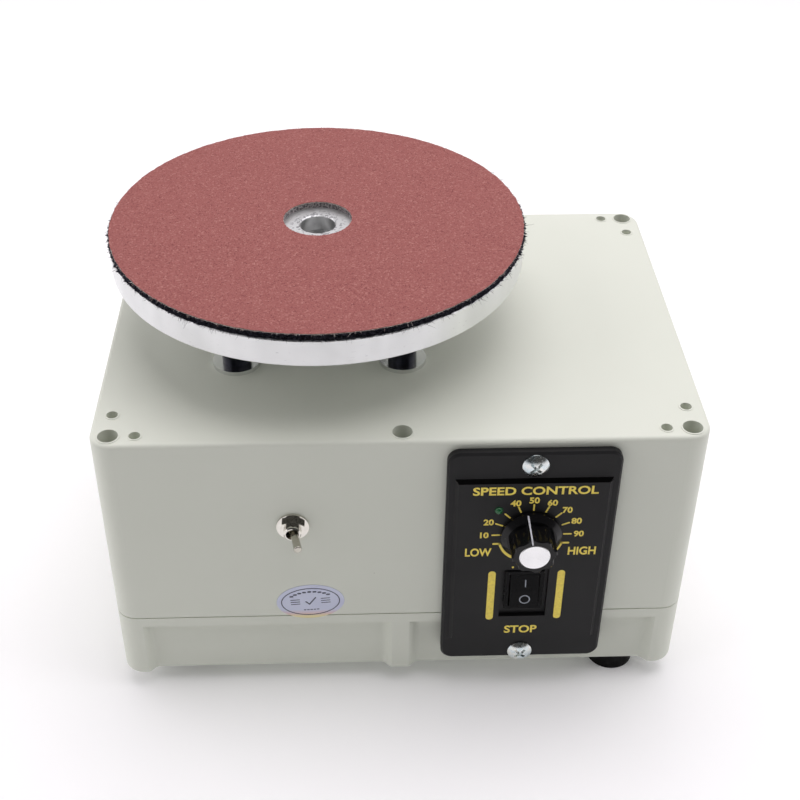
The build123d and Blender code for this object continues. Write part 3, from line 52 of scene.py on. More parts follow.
# ---- Camera ----
# It stands in front of the wheel, a little to the left, and looks down on it from above.
# Its lens is a short telephoto on a full-frame body, so the enclosure's sides barely converge.
eye = Vector((-16.27, -428.37, 401.62)) * MM
yaw, pitch, roll = -0.043, -0.645, 0.011
sight = Vector((-sin(yaw) * cos(pitch), cos(yaw) * cos(pitch), sin(pitch)))
level_right = Vector((cos(yaw), sin(yaw), 0))
level_up = level_right.cross(sight)
right = cos(roll) * level_right + sin(roll) * level_up
up = cos(roll) * level_up - sin(roll) * level_right

lens = bpy.data.cameras.new("camera")
lens.lens = 60.16
lens.sensor_width = 36
lens.clip_start = 0.01
camera = bpy.data.objects.new("camera", lens)
camera.matrix_world = Matrix.Translation(eye) @ Matrix((right, up, -sight)).transposed().to_4x4()
bpy.context.scene.collection.objects.link(camera)
bpy.context.scene.camera = camera


# ---- Enclosure body and lid ----
# Two deep shells of ivory grey ABS, injection moulded in satin-etched steel tools. The body carries
# the motor and the control unit, and the lid closes it from below on four long corner screws.
def finish(name, **constants):
    """A new material of one Principled shader, with each constant set on the shader's own socket."""
    material = bpy.data.materials.new(name)
    material.use_nodes = True
    shader = material.node_tree.nodes["Principled BSDF"]
    for socket, value in constants.items():
        shader.inputs[socket.replace("_", " ")].default_value = value
    return material, material.node_tree, shader


def node(tree, kind, inputs, **settings):
    """A node of that kind; an input is a constant, or another node's output that is linked to it."""
    made = tree.nodes.new("ShaderNode" + kind)
    for name, value in settings.items():
        setattr(made, name, value)
    for name, value in inputs.items():
        if isinstance(value, bpy.types.NodeSocket):
            tree.links.new(value, made.inputs[name])
        else:
            made.inputs[name].default_value = value
    return made


def spot(tree, size=1.0, centre=(0, 0, 0)):
    """Where a point is: (point - centre) / size, with one size for all axes or one for each."""
    sizes = (size, size, size) if isinstance(size, float) else size
    place = node(tree, "TexCoord", {}).outputs["Object"]
    inputs = {"Vector": place, "Location": centre, "Scale": sizes}
    return node(tree, "Mapping", inputs, vector_type="TEXTURE").outputs["Vector"]


def mottle(tree, size, detail=2.0):
    """Smooth noise from 0 to 1 whose lumps are about that size in metres."""
    inputs = {"Vector": spot(tree, size), "Scale": 1.0, "Detail": detail}
    return node(tree, "TexNoise", inputs).outputs["Fac"]


def ramp(tree, value, low, high, start=0.0, end=1.0):
    """Goes from start to end while value goes from low to high, and stays level outside."""
    inputs = {"Value": value, "From Min": low, "From Max": high, "To Min": start, "To Max": end}
    return node(tree, "MapRange", inputs).outputs["Result"]


def patchy(tree, size, low, high, detail=2.0):
    """A value that wanders from low to high in patches of about that size, such as a worn gloss."""
    return ramp(tree, mottle(tree, size, detail), 0.3, 0.7, low, high)


def maths(tree, operation, first, second=0.0):
    """One sum of two numbers."""
    return node(tree, "Math", {0: first, 1: second}, operation=operation).outputs[0]


def tint(tree, factor, first, second):
    """The first colour where factor is 0 and the second where it is 1; a colour may be an output."""
    mix = node(tree, "Mix", {0: factor}, data_type="RGBA")
    for socket, colour in ((mix.inputs[6], first), (mix.inputs[7], second)):
        if isinstance(colour, bpy.types.NodeSocket):
            tree.links.new(colour, socket)
        else:
            socket.default_value = (*colour, 1)
    return mix.outputs[2]


def apply(tree, shader, colour=None, roughness=None, height=None, depth=0.0):
    """Links a colour, a roughness and a relief of that depth in metres to the shader."""
    if colour is not None:
        tree.links.new(colour, shader.inputs["Base Color"])
    if roughness is not None:
        tree.links.new(roughness, shader.inputs["Roughness"])
    if height is not None:
        bump = node(tree, "Bump", {"Height": height, "Distance": depth, "Strength": 1.0})
        tree.links.new(bump.outputs["Normal"], shader.inputs["Normal"])


def specks(tree, cell, radius, share):
    """1 on small round specks of that radius, one in a share of the cells of that size, and 0 off them."""
    where = spot(tree, cell)
    dots = node(tree, "TexVoronoi", {"Vector": where, "Scale": 1.0})
    near = ramp(tree, dots.outputs["Distance"], radius / cell, 0.5 * radius / cell)
    chosen = node(tree, "SeparateColor", {0: dots.outputs["Color"]}).outputs[0]
    return maths(tree, "MULTIPLY", near, maths(tree, "LESS_THAN", chosen, share))


def dress(material, *names):
    """Gives each of those CAD nodes that material."""
    for name in names:
        for held in frame["nodes"][name].material_slots:
            held.material = material


def enclosure_abs():
    """Ivory grey ABS: faint clouding, a fine etched grain and a few dust specks."""
    material, tree, shader = finish("enclosure_abs", Specular_IOR_Level=0.42)
    cloud = mottle(tree, 35 * MM, 3.0)
    plastic = tint(tree, cloud, (0.685, 0.712, 0.622), (0.715, 0.740, 0.652))
    dusty = tint(tree, specks(tree, 11 * MM, 0.22 * MM, 0.22), plastic, (0.26, 0.25, 0.20))
    grain = mottle(tree, 0.35 * MM, 2.0)
    gloss = patchy(tree, 14 * MM, 0.40, 0.50, 4.0)
    apply(tree, shader, dusty, gloss, grain, 0.012 * MM)
    return material


dress(enclosure_abs(), "enclosure_body", "enclosure_lid")


# ---- Lid seal and screws ----
# A foamed rubber cord lies in the lid's groove and keeps slurry out of the case. Long zinc-plated
# screws pass up through the lid's columns, their heads sunk deep so that nothing stands proud.
def foamed_rubber():
    """Grey closed-cell rubber with fine open pores on its cut faces."""
    material, tree, shader = finish("foamed_rubber", Roughness=0.85)
    pores = node(tree, "TexVoronoi", {"Vector": spot(tree, 0.5 * MM), "Scale": 1.0}).outputs["Distance"]
    colour = tint(tree, ramp(tree, pores, 0.0, 0.6), (0.10, 0.10, 0.10), (0.24, 0.24, 0.235))
    apply(tree, shader, colour, None, pores, 0.08 * MM)
    return material


def bright_zinc():
    """Clear zinc plate: cool white metal with faint rainbow passivation and a few dull stains."""
    material, tree, shader = finish("bright_zinc", Metallic=1.0)
    film = mottle(tree, 2.6 * MM, 3.0)
    cool = tint(tree, ramp(tree, film, 0.35, 0.65), (0.60, 0.70, 0.74), (0.80, 0.80, 0.76))
    stain = ramp(tree, mottle(tree, 1.1 * MM, 4.0), 0.62, 0.75)
    colour = tint(tree, stain, cool, (0.42, 0.55, 0.50))
    gloss = patchy(tree, 0.9 * MM, 0.14, 0.30, 3.0)
    apply(tree, shader, colour, gloss, mottle(tree, 0.5 * MM), 0.006 * MM)
    return material


zinc = bright_zinc()
dress(foamed_rubber(), "lid_seal")
dress(zinc, "lid_screws")


# ---- Rubber feet ----
# Four tapered feet of moulded black rubber, each with a steel screw through a sunk hole and a nut
# in the lid. They grip the bench, so their lower rims have gone grey with scuffing and dust.
def moulded_rubber():
    """Black rubber: dull, slightly pebbled, paler where dust holds on it."""
    material, tree, shader = finish("moulded_rubber", Specular_IOR_Level=0.08)
    dust = ramp(tree, mottle(tree, 3 * MM, 5.0), 0.48, 0.75, 0.0, 0.6)
    colour = tint(tree, dust, (0.005, 0.005, 0.005), (0.022, 0.021, 0.020))
    gloss = patchy(tree, 1 * MM, 0.55, 0.75)
    apply(tree, shader, colour, gloss, mottle(tree, 0.25 * MM), 0.02 * MM)
    return material


rubber = moulded_rubber()
dress(rubber, "rubber_feet", "gland_seal")
dress(zinc, "foot_screws", "foot_nuts")


# ---- Motor ----
# A square-flanged induction motor hangs from the enclosure's top. Its ends are die cast and
# machined, its laminations are bare steel, and its coils are enamelled copper wire.
def radius_round(tree, centre, axis):
    """How far a point is from an axis through centre along X, Y or Z."""
    mask = [0.0 if name == axis else 1.0 for name in "XYZ"]
    flat = node(tree, "VectorMath", {0: spot(tree, 1.0, centre), 1: mask}, operation="MULTIPLY")
    return node(tree, "VectorMath", {0: flat.outputs[0]}, operation="LENGTH").outputs["Value"]


def height_along(tree, centre, axis):
    """How far a point is past centre along X, Y or Z."""
    return node(tree, "SeparateXYZ", {0: spot(tree, 1.0, centre)}).outputs[axis]


def tool_marks(tree, centre, axis, pitch):
    """Uneven rings round an axis: noise of (radius + height) / pitch, 0 to 1."""
    run = maths(tree, "ADD", radius_round(tree, centre, axis), height_along(tree, centre, axis))
    inputs = {"W": maths(tree, "DIVIDE", run, pitch), "Scale": 1.0, "Detail": 3.0}
    return node(tree, "TexNoise", inputs, noise_dimensions="1D").outputs["Fac"]


def axis_of(name):
    """The middle of a CAD node's box."""
    low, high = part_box(name)
    return tuple((low + high) / 2)


def metal(name, centre, axis, dark, light, gloss=(0.2, 0.35), pitch=0.25 * MM, depth=0.01 * MM):
    """Turned metal between two shades: tool marks round an axis and a slowly changing gloss."""
    material, tree, shader = finish(name, Metallic=1.0)
    marks = tool_marks(tree, centre, axis, pitch)
    cloud = mottle(tree, 6 * MM, 4.0)
    shade = maths(tree, "ADD", maths(tree, "MULTIPLY", marks, 0.5), maths(tree, "MULTIPLY", cloud, 0.5))
    roughness = ramp(tree, cloud, 0.3, 0.7, *gloss)
    apply(tree, shader, tint(tree, ramp(tree, shade, 0.3, 0.7), dark, light), roughness, marks, depth)
    return material


def cast_aluminium():
    """Grey die casting: a rough frozen skin with small flow marks."""
    material, tree, shader = finish("cast_aluminium", Metallic=0.9)
    skin = mottle(tree, 0.8 * MM, 4.0)
    colour = tint(tree, mottle(tree, 9 * MM, 3.0), (0.42, 0.43, 0.44), (0.58, 0.59, 0.60))
    apply(tree, shader, colour, ramp(tree, skin, 0.3, 0.7, 0.38, 0.58), skin, 0.05 * MM)
    return material


def laminations():
    """Stacked electrical steel: thin dark lines between half-millimetre sheets, faint rust bloom."""
    material, tree, shader = finish("laminations", Metallic=0.8)
    sheets = maths(tree, "FRACT", maths(tree, "DIVIDE", height_along(tree, (0, 0, 0), 2), 0.5 * MM))
    joint = maths(tree, "GREATER_THAN", sheets, 0.82)
    steel = tint(tree, mottle(tree, 4 * MM, 4.0), (0.25, 0.26, 0.28), (0.38, 0.38, 0.39))
    colour = tint(tree, joint, steel, (0.05, 0.045, 0.04))
    apply(tree, shader, colour, patchy(tree, 2 * MM, 0.4, 0.6), sheets, 0.03 * MM)
    return material


def enamelled_copper():
    """Wound wire: rows of round turns under amber enamel, with painted shade in the grooves between turns.
    """
    material, tree, shader = finish("enamelled_copper", Metallic=0.85, Coat_Weight=0.6, Coat_Roughness=0.2)
    turns = maths(tree, "DIVIDE", height_along(tree, (0, 0, 0), 2), 0.45 * MM)
    wire = maths(tree, "ABSOLUTE", maths(tree, "SINE", maths(tree, "MULTIPLY", turns, pi)))
    warm = tint(tree, mottle(tree, 3 * MM), (0.45, 0.16, 0.06), (0.72, 0.33, 0.14))
    # painted shade: near-black brown where the wire profile dips between turns
    colour = tint(tree, ramp(tree, wire, 0.0, 0.5), (0.10, 0.03, 0.01), warm)
    apply(tree, shader, colour, ramp(tree, wire, 0.0, 1.0, 0.5, 0.25), wire, 0.15 * MM)
    return material


def sintered(name, dark, light):
    """Pressed and fired powder: fine even grain with a few voids."""
    material, tree, shader = finish(name, Roughness=0.7)
    grain = mottle(tree, 0.3 * MM, 3.0)
    apply(tree, shader, tint(tree, grain, dark, light), None, grain, 0.02 * MM)
    return material


spindle_axis = Vector(next(j["pos_m"] for j in frame["joints"] if j["name"] == "spindle_spin"))
cast = cast_aluminium()
dress(cast, "motor_front_flange", "motor_rear_cover")
dress(metal("turned_hub", spindle_axis, "Z", (0.50, 0.50, 0.51), (0.66, 0.66, 0.67)), "disc_hub")
dress(metal("drawn_housing", spindle_axis, "Z", (0.45, 0.46, 0.47), (0.58, 0.59, 0.60), (0.3, 0.45)),
      "motor_housing")
dress(metal("ground_steel", spindle_axis, "Z", (0.45, 0.45, 0.45), (0.62, 0.62, 0.61),
            (0.15, 0.28), 0.12 * MM), "motor_shaft")
dress(metal("bearing_steel", spindle_axis, "Z", (0.55, 0.55, 0.56), (0.68, 0.68, 0.69),
            (0.08, 0.16), 0.1 * MM, 0.003 * MM),
      "bearing_outer_races", "bearing_inner_races", "bearing_balls", "bearing_cages")
dress(laminations(), "stator_core", "rotor_core")
dress(enamelled_copper(), "stator_windings", "tacho_coil")
dress(sintered("ferrite", (0.035, 0.035, 0.038), (0.075, 0.075, 0.08)), "tacho_magnet")
dress(zinc, "motor_through_bolts")


# ---- Motor screws and washers ----
# Four socket-head screws of black oxide steel clamp the motor through the enclosure's top, each on
# a wide bright washer that spreads its load over the plastic.
def black_oxide():
    """Blackened steel: near-black blue with an oily half gloss and rubbed grey edges."""
    material, tree, shader = finish("black_oxide", Metallic=0.75, Specular_IOR_Level=0.5)
    worn = ramp(tree, mottle(tree, 1.6 * MM, 5.0), 0.60, 0.78)
    colour = tint(tree, worn, (0.012, 0.013, 0.020), (0.055, 0.058, 0.070))
    apply(tree, shader, colour, ramp(tree, worn, 0.0, 1.0, 0.28, 0.45), mottle(tree, 0.4 * MM), 0.008 * MM)
    return material


def polished_zinc():
    """Barrel-polished plate of the washers: mirror-like, with fine straight scratches."""
    material, tree, shader = finish("polished_zinc", Metallic=1.0)
    scratches = mottle(tree, (0.12 * MM, 3.0 * MM, 0.12 * MM), 2.0)
    colour = tint(tree, mottle(tree, 2 * MM, 3.0), (0.70, 0.72, 0.73), (0.82, 0.82, 0.80))
    apply(tree, shader, colour, ramp(tree, scratches, 0.3, 0.7, 0.08, 0.20), scratches, 0.004 * MM)
    return material


blackened = black_oxide()
washer_plate = polished_zinc()
dress(washer_plate, "motor_washers")
dress(blackened, "motor_screws", "disc_screws", "hub_grub_screws")


# ---- Disc plate ----
# A thick aluminium disc, faced and turned true on its own spindle, with a smooth bright rim.
# The face round the bore is bright too, with small nicks where tools have slipped.
boss_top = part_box("disc_plate")[1].z
nicks_fade, nicks_full = 11.0 * MM, 7.6 * MM


def turned_plate():
    """Bright turned aluminium: rings on the face, painted reflection as soft upright streaks on the rim,
    nicks by the bore.
    """
    material, tree, shader = finish("turned_plate", Metallic=0.92)
    rings = tool_marks(tree, spindle_axis, "Z", 0.30 * MM)
    # painted reflection: soft upright streaks of lighter and darker metal round the rim
    painted_reflection_streaks = mottle(tree, (16 * MM, 16 * MM, 200 * MM), 2.0)
    clean = tint(tree, ramp(tree, painted_reflection_streaks, 0.35, 0.65), (0.70, 0.71, 0.705), (0.78, 0.79, 0.785))
    distance = radius_round(tree, spindle_axis, "Z")
    on_face = ramp(tree, height_along(tree, (0, 0, 0), 2), boss_top - 0.6 * MM, boss_top - 0.4 * MM)
    near_bore = maths(tree, "MULTIPLY", ramp(tree, distance, nicks_fade, nicks_full), on_face)
    chips = ramp(tree, mottle(tree, 1.1 * MM, 4.0), 0.53, 0.60)
    nick = maths(tree, "MULTIPLY", chips, near_bore)
    scuff = ramp(tree, mottle(tree, (2.2 * MM, 2.2 * MM, 0.5 * MM), 5.0), 0.66, 0.74, 0.0, 0.5)
    colour = tint(tree, maths(tree, "MAXIMUM", nick, scuff), clean, (0.34, 0.34, 0.35))
    gloss = patchy(tree, 5 * MM, 0.30, 0.42, 3.0)
    relief = maths(tree, "SUBTRACT", maths(tree, "MULTIPLY", rings, 0.25), nick)
    apply(tree, shader, colour, gloss, relief, 0.03 * MM)
    return material


dress(turned_plate(), "disc_plate")


# ---- Hook pad ----
# A two-millimetre pad of black hook pile is glued to the plate and holds the abrasive by its back.
# Its cut edge frays, so the rim is lumpy and loose fibres hang over the aluminium.
def quads(rows, columns, round_rows=True, round_columns=True):
    """The four corners of every cell of a grid of points, rows by columns, either way wrapping round."""
    r, c = np.meshgrid(np.arange(rows if round_rows else rows - 1),
                       np.arange(columns if round_columns else columns - 1), indexing="ij")
    r2, c2 = (r + 1) % rows, (c + 1) % columns
    corners = [r * columns + c, r2 * columns + c, r2 * columns + c2, r * columns + c2]
    return np.stack(corners, -1).reshape(-1, 4)


def piece(name, points, faces, material, body, smooth=True, sharp=None):
    """A new piece in metres that rides on a body; faces is an array with one row of corners each."""
    mesh = bpy.data.meshes.new(name)
    points, faces = np.asarray(points, float).reshape(-1, 3), np.asarray(faces, int)
    mesh.vertices.add(len(points))
    mesh.vertices.foreach_set("co", points.ravel())
    mesh.loops.add(faces.size)
    mesh.loops.foreach_set("vertex_index", faces.ravel())
    mesh.polygons.add(len(faces))
    mesh.polygons.foreach_set("loop_start", np.arange(0, faces.size, faces.shape[1]))
    mesh.polygons.foreach_set("use_smooth", np.full(len(faces), smooth))
    mesh.update(calc_edges=True)
    if sharp is not None:
        mesh.set_sharp_from_angle(angle=sharp)
    mesh.materials.append(material)
    made = bpy.data.objects.new(name, mesh)
    bpy.context.scene.collection.objects.link(made)
    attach(made, body)
    return made


def ragged(around, levels, lump, seed):
    """Noise that closes on itself: a random field kept only where its waves round the disc are longer
    than lump steps, scaled to a spread of 1."""
    field = np.random.default_rng(seed).normal(size=(around, levels))
    waves = np.fft.rfftfreq(around)[:, None]
    kept = np.fft.irfft(np.fft.rfft(field, axis=0) * np.exp(-(waves * lump) ** 2), around, axis=0)
    return kept / kept.std()


def turned(radius, height, around):
    """Points of a ring section carried round the spindle: x = cx + r cos a, y = cy + r sin a, z = h.
    Radius and height are arrays of around rows, with one column for each point of the section."""
    angle = np.linspace(0, 2 * pi, around, endpoint=False)[:, None]
    x = spindle_axis.x + radius * np.cos(angle)
    y = spindle_axis.y + radius * np.sin(angle)
    return np.stack([x, y, np.broadcast_to(height, x.shape)], -1)


pad_low, pad_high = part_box("hook_pad")
pad_radius = (pad_high.x - pad_low.x) / 2
hole_radius = 12.55 * MM
pad_around, pad_levels, pad_lump = 1500, 9, 4
pad_setback = 0.10 * MM
hole_rough, rim_rough = 0.07 * MM, 0.34 * MM


def pad_section(seed):
    """The pad's section: up the hole's wall, out along the top, down the frayed rim and back."""
    rise = np.linspace(0, 1, pad_levels)
    wall = pad_low.z + (pad_high.z - pad_low.z) * rise
    bulge = np.sin(pi * rise)
    hole = hole_radius + pad_setback + ragged(pad_around, pad_levels, pad_lump, seed) * hole_rough * bulge
    lumps = ragged(pad_around, pad_levels, pad_lump, seed + 1) * rim_rough
    rim = pad_radius - pad_setback + lumps * (0.35 + bulge)
    height = np.concatenate([wall, wall[::-1]])
    return np.concatenate([hole, rim[:, ::-1]], 1), height


def hook_pile():
    """Black nylon pile: dull, broken into tufts, with a faint blue sheen along its fibres. Pale grinding
    dust is caught in the cut edge round the hole."""
    material, tree, shader = finish("hook_pile", Roughness=0.95, Specular_IOR_Level=0.15,
                                    Sheen_Weight=0.25, Sheen_Roughness=0.5, Sheen_Tint=(0.5, 0.52, 0.7, 1))
    tufts = node(tree, "TexVoronoi", {"Vector": spot(tree, 0.45 * MM), "Scale": 1.0}).outputs["Distance"]
    black = tint(tree, ramp(tree, tufts, 0.1, 0.7), (0.016, 0.015, 0.022), (0.002, 0.002, 0.003))
    distance = radius_round(tree, spindle_axis, "Z")
    by_hole = ramp(tree, distance, hole_radius + 0.65 * MM, hole_radius + 0.35 * MM)
    dusty = maths(tree, "MULTIPLY", by_hole, ramp(tree, mottle(tree, 0.7 * MM, 4.0), 0.42, 0.58, 0.25, 0.9))
    colour = tint(tree, dusty, black, (0.50, 0.46, 0.45))
    apply(tree, shader, colour, None, tufts, 0.25 * MM)
    return material


def fibres(name, material, base, heading, length, thick, curl, seed):
    """Loose fibres: from its base each runs p(s) = base + length (s heading + s^2 curl), s from 0 to 1,
    as a three-sided thread whose thickness falls off towards its tip."""
    count, steps, sides = len(base), 4, 3
    draw = np.random.default_rng(seed)
    s = np.linspace(0, 1, steps)[None, :, None]
    bend = draw.normal(size=(count, 1, 3)) * curl
    line = base[:, None] + length[:, None, None] * (s * heading[:, None] + s ** 2 * bend)
    side = np.cross(heading, draw.normal(size=(count, 3)))
    side /= np.linalg.norm(side, axis=1, keepdims=True)
    other = np.cross(heading, side)
    corner = np.arange(sides) * 2 * pi / sides
    spread = np.cos(corner)[:, None] * side[:, None] + np.sin(corner)[:, None] * other[:, None]
    width = thick * (1 - 0.75 * s[..., None])
    points = line[:, :, None] + width * spread[:, None]
    walls = quads(steps, sides, round_rows=False)
    walls = np.concatenate([walls[:, [0, 2, 1]], walls[:, [0, 3, 2]]])
    tip = steps * sides - 1
    ends = np.array([[0, 1, 2], [tip, tip - 1, tip - 2]])
    faces = np.concatenate([walls, ends])[None] + steps * sides * np.arange(count)[:, None, None]
    return piece(name, points, faces.reshape(-1, 3), material, "spindle")


def fray(count, radius, height, outward, seed):
    """Bases and headings of fibres on a round edge: even in angle, leaning out, sideways and down."""
    draw = np.random.default_rng(seed)
    angle = draw.uniform(0, 2 * pi, count)
    away = np.stack([np.cos(angle), np.sin(angle), np.zeros(count)], 1)
    along = np.stack([-np.sin(angle), np.cos(angle), np.zeros(count)], 1)
    level = draw.uniform(*height, count)
    base = np.array([spindle_axis.x, spindle_axis.y, 0]) + away * radius
    base[:, 2] = level
    lean = draw.normal(0, 0.75, (count, 2))
    heading = outward * away + along * lean[:, :1] + np.array([0, 0, 1]) * (lean[:, 1:] * 0.55 - 0.38)
    return base, heading / np.linalg.norm(heading, axis=1, keepdims=True)


pile = hook_pile()
pad_radii, pad_heights = pad_section(3)
pad = piece("hook_pad_pile", turned(pad_radii, pad_heights, pad_around),
            quads(pad_around, 2 * pad_levels)[:, ::-1], pile, "spindle", sharp=radians(60))
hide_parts("hook_pad")

stray = 7600
fibre_roots = (pad_low.z + 0.05 * MM, pad_high.z - 0.1 * MM)
shortest, longest, fibre_radius = 0.4 * MM, 2.2 * MM, 0.095 * MM
base, heading = fray(stray, pad_radius - 0.50 * MM, fibre_roots, 1.0, 7)
reach = np.random.default_rng(8).gamma(3.0, 0.22 * MM, stray).clip(shortest, longest)
rim_fuzz = fibres("pad_rim_fibres", pile, base, heading, reach, fibre_radius, 0.55, 9)


# ---- Abrasive disc ----
# A sheet of red-brown aluminium oxide grit on paper with a looped back, punched out with a hole.
# The punch tears the paper, so pale backing shows along both edges.
sheet_low, sheet_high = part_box("abrasive_disc")
sheet_around, sheet_rings = 1600, 22
hole_inset, rim_inset, edge_step = 0.15 * MM, 0.20 * MM, 0.08 * MM
hole_tear, rim_tear = 0.09 * MM, 0.07 * MM
face_drop, face_swell = 0.07 * MM, 0.025 * MM


def abrasive_section(seed):
    """The sheet's section: hole edge, grit face in rings, rim edge and back, all slightly ragged.
    The face rises and falls by a few hundredths of a millimetre where the glue has lifted it."""
    out = np.linspace(0, 1, sheet_rings)
    hole = hole_radius - hole_inset + hole_tear * ragged(sheet_around, 1, 6, seed)
    rim = pad_radius - rim_inset + rim_tear * ragged(sheet_around, 1, 8, seed + 1)
    face = hole + (rim - hole) * out
    middle_lift = ragged(sheet_around, 1, 400, seed + 2) * np.sin(pi * out)
    rim_lift = ragged(sheet_around, 1, 90, seed + 3) * out ** 8
    top = sheet_high.z - face_drop + face_swell * (middle_lift + rim_lift)
    back = np.full((sheet_around, 1), sheet_low.z)
    radius = np.concatenate([hole + edge_step, hole, face[:, 1:-1], rim, rim - edge_step,
                             rim - 3 * edge_step, hole + 3 * edge_step], 1)
    height = np.concatenate([back + 0.25 * MM, top, back + 0.30 * MM, back, back], 1)
    return radius, height


def grit():
    """Closed-coat red aluminium oxide: dusty rose ground, grains painted dark as shade and pale as
    highlights, paper at the edges.
    """
    material, tree, shader = finish("red_grit", Specular_IOR_Level=0.25)
    grains = node(tree, "TexVoronoi", {"Vector": spot(tree, 0.50 * MM), "Scale": 1.0})
    each = node(tree, "SeparateColor", {0: grains.outputs["Color"]}).outputs[0]
    ground = tint(tree, mottle(tree, 16 * MM, 4.0), (0.236, 0.071, 0.064), (0.276, 0.086, 0.077))
    # painted shade on some grains, then painted highlights on others
    grains_painted_shade = tint(tree, ramp(tree, each, 0.80, 0.95, 0.0, 0.75), ground, (0.13, 0.028, 0.032))
    lit = tint(tree, ramp(tree, each, 0.16, 0.04, 0.0, 0.70), grains_painted_shade, (0.50, 0.24, 0.20))
    fine = tint(tree, ramp(tree, mottle(tree, 0.30 * MM, 2.0), 0.40, 0.62), lit, (0.34, 0.122, 0.112))
    below = ramp(tree, height_along(tree, (0, 0, 0), 2), sheet_high.z - 0.22 * MM, sheet_high.z - 0.30 * MM)
    colour = tint(tree, below, fine, (0.74, 0.70, 0.64))
    relief = maths(tree, "ADD", grains.outputs["Distance"], mottle(tree, 0.35 * MM, 3.0))
    apply(tree, shader, colour, ramp(tree, each, 0.0, 1.0, 0.62, 0.92), relief, 0.10 * MM)
    return material


def torn_paper():
    """Pale backing paper: off-white fibres with a little red dust."""
    material, tree, shader = finish("torn_paper", Roughness=0.9)
    dust = ramp(tree, mottle(tree, 0.8 * MM, 3.0), 0.45, 0.7)
    colour = tint(tree, dust, (0.78, 0.74, 0.68), (0.52, 0.30, 0.26))
    apply(tree, shader, colour, None, mottle(tree, 0.2 * MM), 0.03 * MM)
    return material


sheet_radii, sheet_heights = abrasive_section(21)
sheet = piece("abrasive_sheet", turned(sheet_radii, sheet_heights, sheet_around),
              quads(sheet_around, sheet_radii.shape[1])[:, ::-1], grit(), "spindle", sharp=radians(50))
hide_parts("abrasive_disc")

paper = torn_paper()
paper_roots = (sheet_low.z + 0.12 * MM, sheet_high.z - 0.22 * MM)
for name, count, radius, outward, seed in (("sheet_rim_fray", 2000, pad_radius - 0.34 * MM, 1.0, 31),
                                           ("sheet_hole_fray", 320, hole_radius + 0.05 * MM, -1.0, 41)):
    base, heading = fray(count, radius, paper_roots, outward, seed)
    reach = np.random.default_rng(seed + 1).gamma(2.0, 0.16 * MM, count).clip(0.15 * MM, 1.0 * MM)
    torn = fibres(name, paper, base, heading, reach, 0.08 * MM, 0.5, seed + 2)


# ---- Control faceplate ----
# The speed controller's front: a bevelled plate of black moulded plastic with a raised block,
# screwed to the enclosure at top and bottom and screen printed in yellow.
plate_low, plate_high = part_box("control_faceplate")
block_top = plate_high.z - 10.8 * MM
slope_height = 1.3 * MM
plate_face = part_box("rocker_housing")[0].y + 2.0 * MM


def panel_black():
    """Black plastic with a very fine spark-eroded texture, rubbed slightly shinier in patches. The slope
    along the raised block's top is made glossier and painted near black, a painted shade that shows as a
    black line."""
    material, tree, shader = finish("panel_black", Specular_IOR_Level=0.19)
    high = height_along(tree, (0, 0, 0), 2)
    under = ramp(tree, high, block_top + 0.05 * MM, block_top - 0.05 * MM)
    above = ramp(tree, high, block_top - slope_height - 0.10 * MM, block_top - slope_height)
    proud = ramp(tree, height_along(tree, (0, 0, 0), 1), plate_face - 0.02 * MM, plate_face - 0.10 * MM)
    # mask of the block's top slope: it lowers the roughness and paints the colour near black as painted
    # shade
    polished = maths(tree, "MULTIPLY", maths(tree, "MULTIPLY", under, above), proud)
    textured = tint(tree, mottle(tree, 12 * MM, 4.0), (0.0100, 0.0100, 0.0104), (0.0140, 0.0140, 0.0144))
    colour = tint(tree, polished, textured, (0.0015, 0.0015, 0.0015))
    worn = patchy(tree, 18 * MM, 0.36, 0.46, 4.0)
    gloss = maths(tree, "SUBTRACT", worn, maths(tree, "MULTIPLY", polished, 0.33))
    apply(tree, shader, colour, gloss, mottle(tree, 0.22 * MM, 2.0), 0.010 * MM)
    return material


dress(panel_black(), "control_faceplate", "control_case", "control_case_cover")
dress(zinc, "panel_screws")


# ---- Panel print ----
# Yellow ink, screen printed: a title, ten-step scale ticks with their numbers, LOW and HIGH sweep
# marks, two upright bars beside the rocker, and STOP below it.
ink_left, ink_top, ink_face = plate_low.x, plate_high.z, plate_low.y
ink_thickness = 0.04 * MM
knob_axis = Vector(next(j["pos_m"] for j in frame["joints"] if j["name"] == "knob_turn"))


def printed(name, shapes, face_y, material, body):
    """Flat shapes in the panel's plane made solid: each is (points across and up, triangles), its front
    at face_y less the ink's thickness and its back on the face, with walls round its outline."""
    points, faces, start = [], [], 0
    for flat, triangles in shapes:
        front = np.column_stack([flat[:, 0], np.full(len(flat), face_y - ink_thickness), flat[:, 1]])
        back = front + [0, 1.5 * ink_thickness, 0]
        edges = triangles[:, [[0, 1], [1, 2], [2, 0]]].reshape(-1, 2)
        keys = np.sort(edges, 1)
        _, first, counts = np.unique(keys, axis=0, return_index=True, return_counts=True)
        rim = edges[first[counts == 1]]
        count = len(flat)
        walls = np.concatenate([np.column_stack([rim[:, 1], rim[:, 0], rim[:, 0] + count]),
                                np.column_stack([rim[:, 1], rim[:, 0] + count, rim[:, 1] + count])])
        points += [front, back]
        faces += [np.concatenate([triangles, triangles[:, ::-1] + count, walls]) + start]
        start += 2 * count
    made = piece(name, np.concatenate(points), np.concatenate(faces), material, body, smooth=False)
    return made


def read_mesh(mesh):
    """A mesh's points and the corner numbers of its triangles, one row each."""
    mesh.calc_loop_triangles()
    points = np.zeros(len(mesh.vertices) * 3)
    mesh.vertices.foreach_get("co", points)
    triangles = np.zeros(len(mesh.loop_triangles) * 3, int)
    mesh.loop_triangles.foreach_get("vertices", triangles)
    return points.reshape(-1, 3), triangles.reshape(-1, 3)


